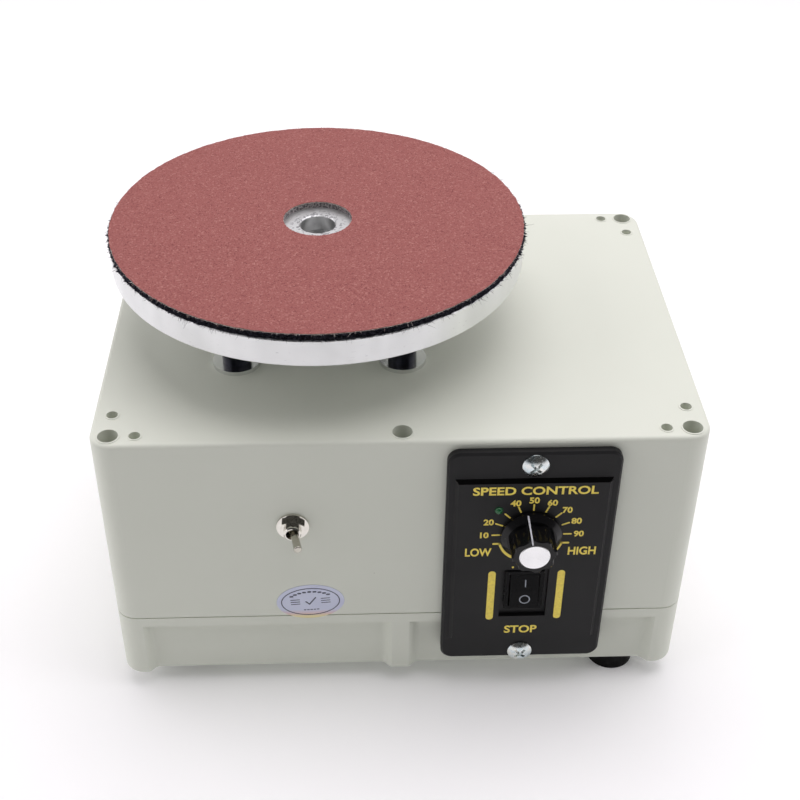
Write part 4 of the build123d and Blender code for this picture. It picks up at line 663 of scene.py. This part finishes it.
def word(text, across, upward, height, width=None, weight=0.026):
    """A word's letters as flat triangles, centred at a point, scaled to its height and, if given, width."""
    curve = bpy.data.curves.new(text, "FONT")
    curve.body = text
    curve.offset = weight
    curve.resolution_u = 4
    holder = bpy.data.objects.new(text, curve)
    bpy.context.scene.collection.objects.link(holder)
    bpy.context.view_layer.update()
    mesh = bpy.data.meshes.new_from_object(holder.evaluated_get(bpy.context.evaluated_depsgraph_get()))
    points, triangles = read_mesh(mesh)
    flat = points[:, :2]
    bpy.data.objects.remove(holder)
    bpy.data.curves.remove(curve)
    bpy.data.meshes.remove(mesh)
    low, high = flat.min(0), flat.max(0)
    scale = height / (high[1] - low[1])
    stretch = np.array([width / (high[0] - low[0]) if width else scale, scale])
    return (flat - (low + high) / 2) * stretch + [across, upward], anticlockwise(flat, triangles)


def anticlockwise(flat, triangles):
    """The triangles with every corner order going the same way round, so that their fronts face out."""
    a, b, c = (flat[triangles[:, k]] for k in range(3))
    turn = (b - a)[:, 0] * (c - a)[:, 1] - (b - a)[:, 1] * (c - a)[:, 0]
    flipped = triangles.copy()
    flipped[turn < 0] = triangles[turn < 0][:, ::-1]
    return flipped


def stroke(line, width, rounded=6):
    """A pen stroke along a line of points with round ends: a ribbon of that width, or of one width at
    each point, with half circles closing it."""
    line = np.asarray(line, float)
    width = np.broadcast_to(np.asarray(width, float), (len(line),))[:, None] / 2
    along = np.gradient(line, axis=0)
    along /= np.linalg.norm(along, axis=1, keepdims=True)
    side = np.column_stack([-along[:, 1], along[:, 0]])
    angle = np.linspace(pi / 2, -pi / 2, rounded)[1:-1, None]
    head = line[-1] + width[-1] * (np.sin(angle) * side[-1] + np.cos(angle) * along[-1])
    tail = line[0] + width[0] * (-np.sin(angle) * side[0] - np.cos(angle) * along[0])
    outline = np.concatenate([line + side * width, head, (line - side * width)[::-1], tail])
    return filled(outline)


def filled(outline):
    """An outline filled with triangles: its first and last points are joined, then the next two, and so
    on to its middle, like the rungs of a ladder."""
    a = np.arange(len(outline) // 2)
    b = len(outline) - 1 - a
    upper = np.column_stack([a[:-1], b[:-1], b[1:]])
    lower = np.column_stack([a[:-1], b[1:], a[1:]])
    return outline, anticlockwise(outline, np.concatenate([upper, lower]))


def ring(across, upward, radius_x, radius_z, width, turn=0.0, start=0.0, sweep=2 * pi, steps=72):
    """An elliptical band of that width, from start through sweep, turned as a whole by turn."""
    closed = sweep >= 2 * pi - 1e-6
    angle = start + np.linspace(0, sweep, steps, endpoint=not closed)
    turned_once = np.column_stack([np.cos(angle), np.sin(angle)])
    rows = [turned_once * (np.array([radius_x, radius_z]) + side * width / 2) for side in (-1, 1)]
    turning = np.array([[cos(turn), sin(turn)], [-sin(turn), cos(turn)]])
    flat = np.concatenate(rows) @ turning + [across, upward]
    cells = quads(2, steps, round_rows=False, round_columns=closed)
    return flat, anticlockwise(flat, np.concatenate([cells[:, [0, 1, 2]], cells[:, [0, 2, 3]]]))


def on_panel(across, down):
    """A point of the panel, measured in millimetres from its top left corner."""
    return ink_left + across * MM, ink_top - down * MM


def yellow_ink():
    """Screen ink: warm yellow, a little thin and uneven, with a soft gloss."""
    material, tree, shader = finish("yellow_ink", Roughness=0.45, Specular_IOR_Level=0.3)
    thin = ramp(tree, mottle(tree, 0.8 * MM, 4.0), 0.35, 0.7)
    colour = tint(tree, thin, (0.98, 0.80, 0.13), (0.84, 0.66, 0.12))
    apply(tree, shader, colour, None, mottle(tree, 0.3 * MM), 0.01 * MM)
    return material


# each text with its place across and down, its height and its width, in millimetres
labels = (("SPEED CONTROL", 30.6, 15.3, 3.7, 43.4), ("LOW", 11.9, 43.8, 3.9, 9.4),
          ("HIGH", 48.9, 43.8, 3.9, 10.0), ("STOP", 29.4, 83.3, 3.9, 12.2))
ink_shapes = [word(text, *on_panel(across, down), height * MM, width * MM)
              for text, across, down, height, width in labels]
number_height, tick_width = 2.8 * MM, 0.62 * MM
tick_inner, tick_outer, number_ring = 11.4 * MM, 13.9 * MM, 16.7 * MM
tick_turn = radians(22.5)
scale_centre = np.array([knob_axis.x + 0.2 * MM, knob_axis.z])
number_by_lamp = 30
for place, number in enumerate(range(10, 100, 10)):
    angle = pi - place * tick_turn
    direction = np.array([cos(angle), sin(angle)])
    ink_shapes.append(stroke([scale_centre + direction * r for r in (tick_inner, tick_outer)], tick_width))
    if number != number_by_lamp:
        across, upward = scale_centre + direction * [number_ring, number_ring - 0.8 * MM]
        ink_shapes.append(word(str(number), across, upward, number_height, weight=0.034))


def sweep_mark(points, widths):
    """A curve through three points, thickening along its length: quadratic, 12 steps."""
    a, b, c = (np.array(on_panel(*p)) for p in points)
    s = np.linspace(0, 1, 12)[:, None]
    return stroke(a * (1 - s) ** 2 + 2 * b * s * (1 - s) + c * s ** 2, np.linspace(*widths, 12) * MM)


ink_shapes += [stroke([on_panel(17.1, 39.8), on_panel(19.3, 39.8)], 0.8 * MM),
               sweep_mark([(19.3, 39.9), (20.5, 44.2), (23.7, 46.2)], (0.8, 1.2)),
               stroke([on_panel(41.3, 39.8), on_panel(43.7, 39.8)], 0.8 * MM),
               sweep_mark([(41.3, 39.9), (40.7, 41.8), (39.7, 43.1)], (0.8, 1.0)),
               ring(*on_panel(24.7, 51.4), 0.22 * MM, 0.22 * MM, 0.42 * MM, steps=16)]
bar_width = 2.7 * MM
for middle in (17.4, 42.5):
    bar = [on_panel(middle, down) for down in (54.6, 65.6, 76.6)]
    ink_shapes.append(stroke(bar, bar_width, 10))
printed("panel_print", ink_shapes, ink_face, yellow_ink(), "base")


# ---- Speed dial ----
# A glossy black knob with a flared skirt, eight finger flutes and a spun aluminium cap pressed into
# its face. It turns the potentiometer behind the panel, and a small lamp beside it shows power.
def knob_black():
    """Polished black plastic with light handling haze and a few dust specks."""
    material, tree, shader = finish("knob_black", Specular_IOR_Level=0.26)
    dust = specks(tree, 2.2 * MM, 0.12 * MM, 0.35)
    colour = tint(tree, dust, (0.0055, 0.0055, 0.0060), (0.16, 0.16, 0.15))
    haze = ramp(tree, mottle(tree, 3.5 * MM, 5.0), 0.3, 0.75, 0.10, 0.24)
    apply(tree, shader, colour, haze, mottle(tree, 1.2 * MM), 0.012 * MM)
    return material


def spun_cap():
    """Spun aluminium: fine rings round the cap's middle that throw light into two fans."""
    material, tree, shader = finish("spun_cap", Metallic=1.0, Roughness=0.26, Anisotropic=0.75)
    tangent = node(tree, "Tangent", {}, direction_type="RADIAL", axis="Y")
    tree.links.new(tangent.outputs[0], shader.inputs["Tangent"])
    rings = tool_marks(tree, axis_of("knob_cap"), "Y", 0.09 * MM)
    colour = tint(tree, rings, (0.80, 0.80, 0.81), (0.90, 0.90, 0.91))
    apply(tree, shader, colour, None, rings, 0.002 * MM)
    return material


def white_paint(name, shade):
    """Wiped-in paint: off-white and patchy, with a slightly raised lip."""
    material, tree, shader = finish(name, Roughness=0.5)
    patch = ramp(tree, mottle(tree, 0.6 * MM, 4.0), 0.35, 0.65)
    colour = tint(tree, patch, shade, tuple(0.72 * c for c in shade))
    apply(tree, shader, colour, None, mottle(tree, 0.3 * MM), 0.02 * MM)
    return material


dress(knob_black(), "speed_knob")
dress(spun_cap(), "knob_cap")
dress(zinc, "potentiometer_body", "potentiometer_nut")
dress(metal("pot_shaft_steel", knob_axis, "Y", (0.5, 0.5, 0.5), (0.65, 0.65, 0.65)), "potentiometer_shaft")

knob_low, knob_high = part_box("speed_knob")
skirt_radius = (knob_high.x - knob_low.x) / 2
ridge_radius, face_edge, cap_edge = 8.02 * MM, 7.6 * MM, 5.45 * MM
pointer_angle = radians(100.0)
paint_steps, paint_lift = 48, 0.05 * MM


def pointer_line(seed):
    """A painted line along the knob's outline at one angle: out at the skirt's edge, up its cone, up the
    ridge and in over the face to the cap, each point pushed off the surface by the paint's thickness.
    Its width wanders a little as a brushed line does."""
    corners = np.array([[skirt_radius, knob_high.y - 1.0 * MM], [8.8 * MM, knob_high.y - 2.8 * MM],
                        [ridge_radius, knob_high.y - 3.3 * MM], [ridge_radius, knob_low.y + 0.5 * MM],
                        [face_edge, knob_low.y], [cap_edge, knob_low.y]])
    run = np.concatenate([[0], np.cumsum(np.linalg.norm(np.diff(corners, axis=0), axis=1))])
    steps = np.linspace(0.02, 0.99, paint_steps) * run[-1]
    path = np.column_stack([np.interp(steps, run, corners[:, k]) for k in range(2)])
    along = np.gradient(path, axis=0)
    normal = np.column_stack([-along[:, 1], along[:, 0]])
    normal /= np.linalg.norm(normal, axis=1, keepdims=True)
    normal *= np.sign(normal[:, :1] - normal[:, 1:] + 1e-9)
    wander = np.convolve(np.random.default_rng(seed).normal(size=60), np.ones(5) / 5, "same")[:paint_steps]
    half = (0.30 + 0.10 * wander) * MM
    out = np.array([cos(pointer_angle), 0, sin(pointer_angle)])
    back = np.array([0, 1, 0])
    across = np.cross(out, back)
    centre = np.array([knob_axis.x, 0, knob_axis.z])
    rows = []
    for lift, side in ((1, -1), (1, 1), (-1, 1), (-1, -1)):
        spine = path + normal * lift * paint_lift
        rows.append(centre + spine[:, :1] * out + spine[:, 1:] * back + side * half[:, None] * across)
    return np.stack(rows, 1)


pointer = piece("knob_pointer", pointer_line(5), quads(paint_steps, 4, round_rows=False),
                white_paint("pointer_white", (0.80, 0.81, 0.86)), "knob", sharp=radians(40))


def green_lens():
    """Tinted epoxy lens of an unlit lamp, slightly cloudy inside."""
    material, tree, shader = finish("green_lens", Transmission_Weight=0.55, IOR=1.5)
    colour = tint(tree, mottle(tree, 0.8 * MM, 3.0), (0.010, 0.16, 0.045), (0.025, 0.30, 0.09))
    gloss = patchy(tree, 0.5 * MM, 0.12, 0.25)
    apply(tree, shader, colour, gloss, mottle(tree, 0.6 * MM), 0.01 * MM)
    return material


dress(green_lens(), "speed_led")


# ---- Rocker switch ----
# A snap-in mains rocker in a sunk pocket: black glass-filled nylon with a polished paddle, marked
# with a bar for on above and a ring for off below.
def switch_black():
    """Half-gloss black nylon with faint fibre swirl."""
    material, tree, shader = finish("switch_black", Specular_IOR_Level=0.06)
    colour = tint(tree, mottle(tree, 2.5 * MM, 4.0), (0.0050, 0.0050, 0.0055), (0.0090, 0.0090, 0.0095))
    gloss = patchy(tree, 4 * MM, 0.24, 0.36, 3.0)
    apply(tree, shader, colour, gloss, mottle(tree, 0.5 * MM), 0.006 * MM)
    return material


switch_plastic = switch_black()
dress(switch_plastic, "rocker_housing", "rocker_paddle", "toggle_body")


def paddle_face(above):
    """The plane of one half of the rocker's paddle: y = a x + b z + c through its largest forward
    triangle above or below the pivot."""
    points, triangles = read_mesh(frame["nodes"]["rocker_paddle"].data)
    tri = points[triangles]
    normal = np.cross(tri[:, 1] - tri[:, 0], tri[:, 2] - tri[:, 0])
    middle = (tri[:, :, 2].min(1) + tri[:, :, 2].max(1)) / 2
    pivot = (tri[..., 2].min() + tri[..., 2].max()) / 2
    facing = np.abs(normal[:, 1]) * (normal[:, 1] < 0) * ((middle > pivot) == above)
    best = np.argmax(facing)
    n, p = normal[best], tri[best, 0]
    return lambda x, z: p[1] - (n[0] * (x - p[0]) + n[2] * (z - p[2])) / n[1]


rocker_low, rocker_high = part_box("rocker_paddle")
rocker_middle = (rocker_low + rocker_high) / 2
mark_ink = white_paint("rocker_mark_ink", (0.42, 0.46, 0.52))
mark_x = rocker_middle.x + 0.3 * MM
bar_line = [(mark_x, rocker_middle.z + rise * MM) for rise in (2.3, 5.2)]
on_bar = stroke(bar_line, 0.38 * MM, 4)
off_ring = ring(mark_x, rocker_middle.z - 3.6 * MM, 1.8 * MM, 1.8 * MM, 0.42 * MM, steps=48)
for name, above, shape in (("rocker_on_mark", True, on_bar), ("rocker_off_mark", False, off_ring)):
    made = printed(name, [shape], 0.0, mark_ink, "rocker")
    points, triangles = read_mesh(made.data)
    points[:, 1] += paddle_face(above)(points[:, 0], points[:, 2])
    made.data.vertices.foreach_set("co", points.ravel())
    made.data.update()


# ---- Toggle switch ----
# A nickel-plated miniature toggle: washer, hexagon nut and threaded bushing on the front, with a
# short bat lever that swings sideways.
def nickel(name, dark, light, gloss):
    """Bright nickel plate with a warm cast, tiny pits and soft handling marks."""
    material, tree, shader = finish(name, Metallic=1.0)
    colour = tint(tree, mottle(tree, 1.5 * MM, 4.0), dark, light)
    pits = mottle(tree, 0.35 * MM, 3.0)
    apply(tree, shader, colour, patchy(tree, 1.2 * MM, *gloss, 3.0), pits, 0.006 * MM)
    return material


nickel_plate = nickel("nickel_plate", (0.66, 0.64, 0.58), (0.80, 0.78, 0.72), (0.07, 0.16))
dress(nickel_plate, "toggle_washer", "toggle_nut", "toggle_bushing")
dress(nickel("lever_nickel", (0.46, 0.44, 0.37), (0.58, 0.56, 0.50), (0.14, 0.26)), "toggle_lever")


# ---- Inspection sticker ----
# A small oval of pale metallised film stuck across the seam after testing: a printed ring, a tick
# between two bars and a row of dashes, in place of any wording.
film_low, film_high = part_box("inspection_sticker")
film_middle = (film_low + film_high) / 2
film_turn = radians(4)


def foil_film():
    """Pearly lilac film that shifts to pink and straw along its lower edge."""
    material, tree, shader = finish("foil_film", Metallic=0.25, Coat_Weight=0.4, Coat_Roughness=0.15)
    low = ramp(tree, height_along(tree, film_middle, 2), -4.2 * MM, -6.4 * MM)
    lower = ramp(tree, height_along(tree, film_middle, 2), -6.0 * MM, -7.6 * MM)
    lilac = tint(tree, mottle(tree, 5 * MM, 3.0), (0.50, 0.52, 0.68), (0.60, 0.64, 0.76))
    colour = tint(tree, lower, tint(tree, low, lilac, (0.68, 0.50, 0.50)), (0.74, 0.66, 0.36))
    gloss = patchy(tree, 3 * MM, 0.28, 0.42)
    apply(tree, shader, colour, gloss, mottle(tree, 2 * MM), 0.01 * MM)
    return material


def on_film(across, upward):
    """A point of the sticker, in millimetres from its middle, turned with it."""
    x, z = across * MM, upward * MM
    return (film_middle.x + x * cos(film_turn) - z * sin(film_turn),
            film_middle.z + x * sin(film_turn) + z * cos(film_turn))


def stamp_ink():
    """Thin blue-grey stamping ink."""
    material, tree, shader = finish("stamp_ink", Roughness=0.6)
    thin = ramp(tree, mottle(tree, 0.7 * MM, 3.0), 0.35, 0.7)
    colour = tint(tree, thin, (0.050, 0.055, 0.085), (0.110, 0.115, 0.160))
    apply(tree, shader, colour, None, mottle(tree, 0.3 * MM), 0.005 * MM)
    return material


dress(foil_film(), "inspection_sticker")
stamp_shapes = [ring(*on_film(0, 0), 10.7 * MM, 6.7 * MM, 0.38 * MM, film_turn, steps=96),
                stroke([on_film(-1.7, 0.1), on_film(-0.5, -1.3)], 0.5 * MM, 4),
                stroke([on_film(-0.5, -1.3), on_film(2.0, 1.9)], 0.5 * MM, 4)]
for across in (-5.6, 5.6):
    for upward in (-0.9, 0.2, 1.3):
        bar = [on_film(across + end, upward) for end in (-1.6, 1.6)]
        stamp_shapes.append(stroke(bar, 0.34 * MM, 4))
for angle in np.radians(np.linspace(140, 40, 9)):
    x, z = 8.8 * cos(angle), 5.2 * sin(angle) - 0.2
    stamp_shapes.append(stroke([on_film(x - 0.42, z), on_film(x + 0.42, z)], 0.75 * MM, 4))
for across in np.linspace(-2.4, 2.4, 5):
    stamp_shapes.append(stroke([on_film(across - 0.3, -4.1), on_film(across + 0.3, -4.1)], 0.42 * MM, 4))
printed("sticker_print", stamp_shapes, film_low.y, stamp_ink(), "base")


# ---- Cable gland ----
# A black nylon gland clamps the supply cable at the back: body and locknut either side of the wall,
# a rubber seal inside and a ribbed cap outside.
def moulded_nylon():
    """Black nylon with a soft sheen and fine flow marks."""
    material, tree, shader = finish("moulded_nylon", Specular_IOR_Level=0.4)
    colour = tint(tree, mottle(tree, 4 * MM, 4.0), (0.012, 0.012, 0.013), (0.022, 0.022, 0.023))
    gloss = patchy(tree, 3 * MM, 0.34, 0.50, 3.0)
    apply(tree, shader, colour, gloss, mottle(tree, 0.4 * MM, 3.0), 0.015 * MM)
    return material


dress(moulded_nylon(), "gland_body", "gland_locknut", "gland_cap", "tacho_cover")


# ---- Electrical parts ----
# The speed controller's board stands in its case, and the run capacitor and a screw terminal block
# are fixed inside the enclosure.
def circuit_board():
    """Green solder mask over copper tracks, with pale pads."""
    material, tree, shader = finish("circuit_board", Specular_IOR_Level=0.5)
    inputs = {"Vector": spot(tree, 4 * MM), "Scale": 1.0, "Mortar Size": 0.09}
    cells = node(tree, "TexBrick", inputs)
    tracks = cells.outputs["Fac"]
    base_green = tint(tree, mottle(tree, 6 * MM), (0.012, 0.085, 0.035), (0.018, 0.115, 0.045))
    masked = tint(tree, tracks, base_green, (0.035, 0.20, 0.07))
    pads = specks(tree, 3.4 * MM, 0.6 * MM, 0.5)
    colour = tint(tree, pads, masked, (0.62, 0.62, 0.60))
    relief = maths(tree, "ADD", tracks, pads)
    apply(tree, shader, colour, ramp(tree, pads, 0, 1, 0.35, 0.25), relief, 0.04 * MM)
    return material


def moulded_case(name, dark, light, gloss):
    """Plain moulded plastic between two shades, with a light satin grain."""
    material, tree, shader = finish(name)
    colour = tint(tree, mottle(tree, 9 * MM, 3.0), dark, light)
    apply(tree, shader, colour, patchy(tree, 5 * MM, *gloss), mottle(tree, 0.35 * MM), 0.01 * MM)
    return material


dress(circuit_board(), "control_board")
dress(moulded_case("capacitor_white", (0.62, 0.62, 0.60), (0.70, 0.70, 0.68), (0.35, 0.45)), "run_capacitor")
dress(moulded_case("terminal_cream", (0.66, 0.62, 0.50), (0.74, 0.70, 0.58), (0.3, 0.4)), "terminal_block")
dress(zinc, "capacitor_clamp", "capacitor_screws", "terminal_screws")


# ---- Stage ----
# A white seamless floor, a softbox overhead, large dim cards at the left, the right and the back for
# the bright metal to mirror, and a faint even surround.
def pale_floor():
    """White paper, lit a little from below."""
    material, tree, shader = finish("pale_floor", Roughness=0.9, Specular_IOR_Level=0.1,
                                    Emission_Color=(1, 1, 1, 1), Emission_Strength=0.10)
    apply(tree, shader, tint(tree, mottle(tree, 0.3, 2.0), (0.93, 0.93, 0.93), (0.95, 0.95, 0.95)))
    return material


floor_mesh = bpy.data.meshes.new("floor")
half_floor = 4.0
floor_corners = [(x * half_floor, y * half_floor, 0) for x, y in ((-1, -1), (1, -1), (1, 1), (-1, 1))]
floor_mesh.from_pydata(floor_corners, [], [(0, 1, 2, 3)])
floor_mesh.materials.append(pale_floor())
floor = bpy.data.objects.new("floor", floor_mesh)
bpy.context.scene.collection.objects.link(floor)


lamp_colour = (1.0, 0.965, 1.0)


def softbox(name, place, target, width, depth, power):
    """A rectangular lamp at a place, turned to face a target."""
    lamp = bpy.data.lights.new(name, "AREA")
    lamp.shape = "RECTANGLE"
    lamp.size = width
    lamp.size_y = depth
    lamp.energy = power
    lamp.color = lamp_colour
    held = bpy.data.objects.new(name, lamp)
    held.location = place
    held.rotation_euler = (Vector(target) - Vector(place)).to_track_quat("-Z", "Y").to_euler()
    bpy.context.scene.collection.objects.link(held)


softbox("overhead", (0.10, 0.06, 1.05), (0.0, 0.0, 0.1), 1.1, 0.9, 8.3)
softbox("left_card", (-1.0, 0.05, 0.62), (0.0, 0.0, 0.12), 1.6, 1.2, 8.5)
softbox("right_card", (1.0, 0.15, 0.62), (0.0, 0.0, 0.12), 1.6, 1.2, 7.0)
softbox("back_card", (-0.1, 1.05, 0.80), (0.0, 0.0, 0.15), 1.8, 1.0, 4.0)
world = bpy.data.worlds.new("surround")
world.use_nodes = True
surround = world.node_tree.nodes["Background"].inputs
surround["Color"].default_value = (1.0, 1.0, 1.0, 1.0)
surround["Strength"].default_value = 0.06
bpy.context.scene.world = world
bpy.context.scene.view_settings.view_transform = "Standard"
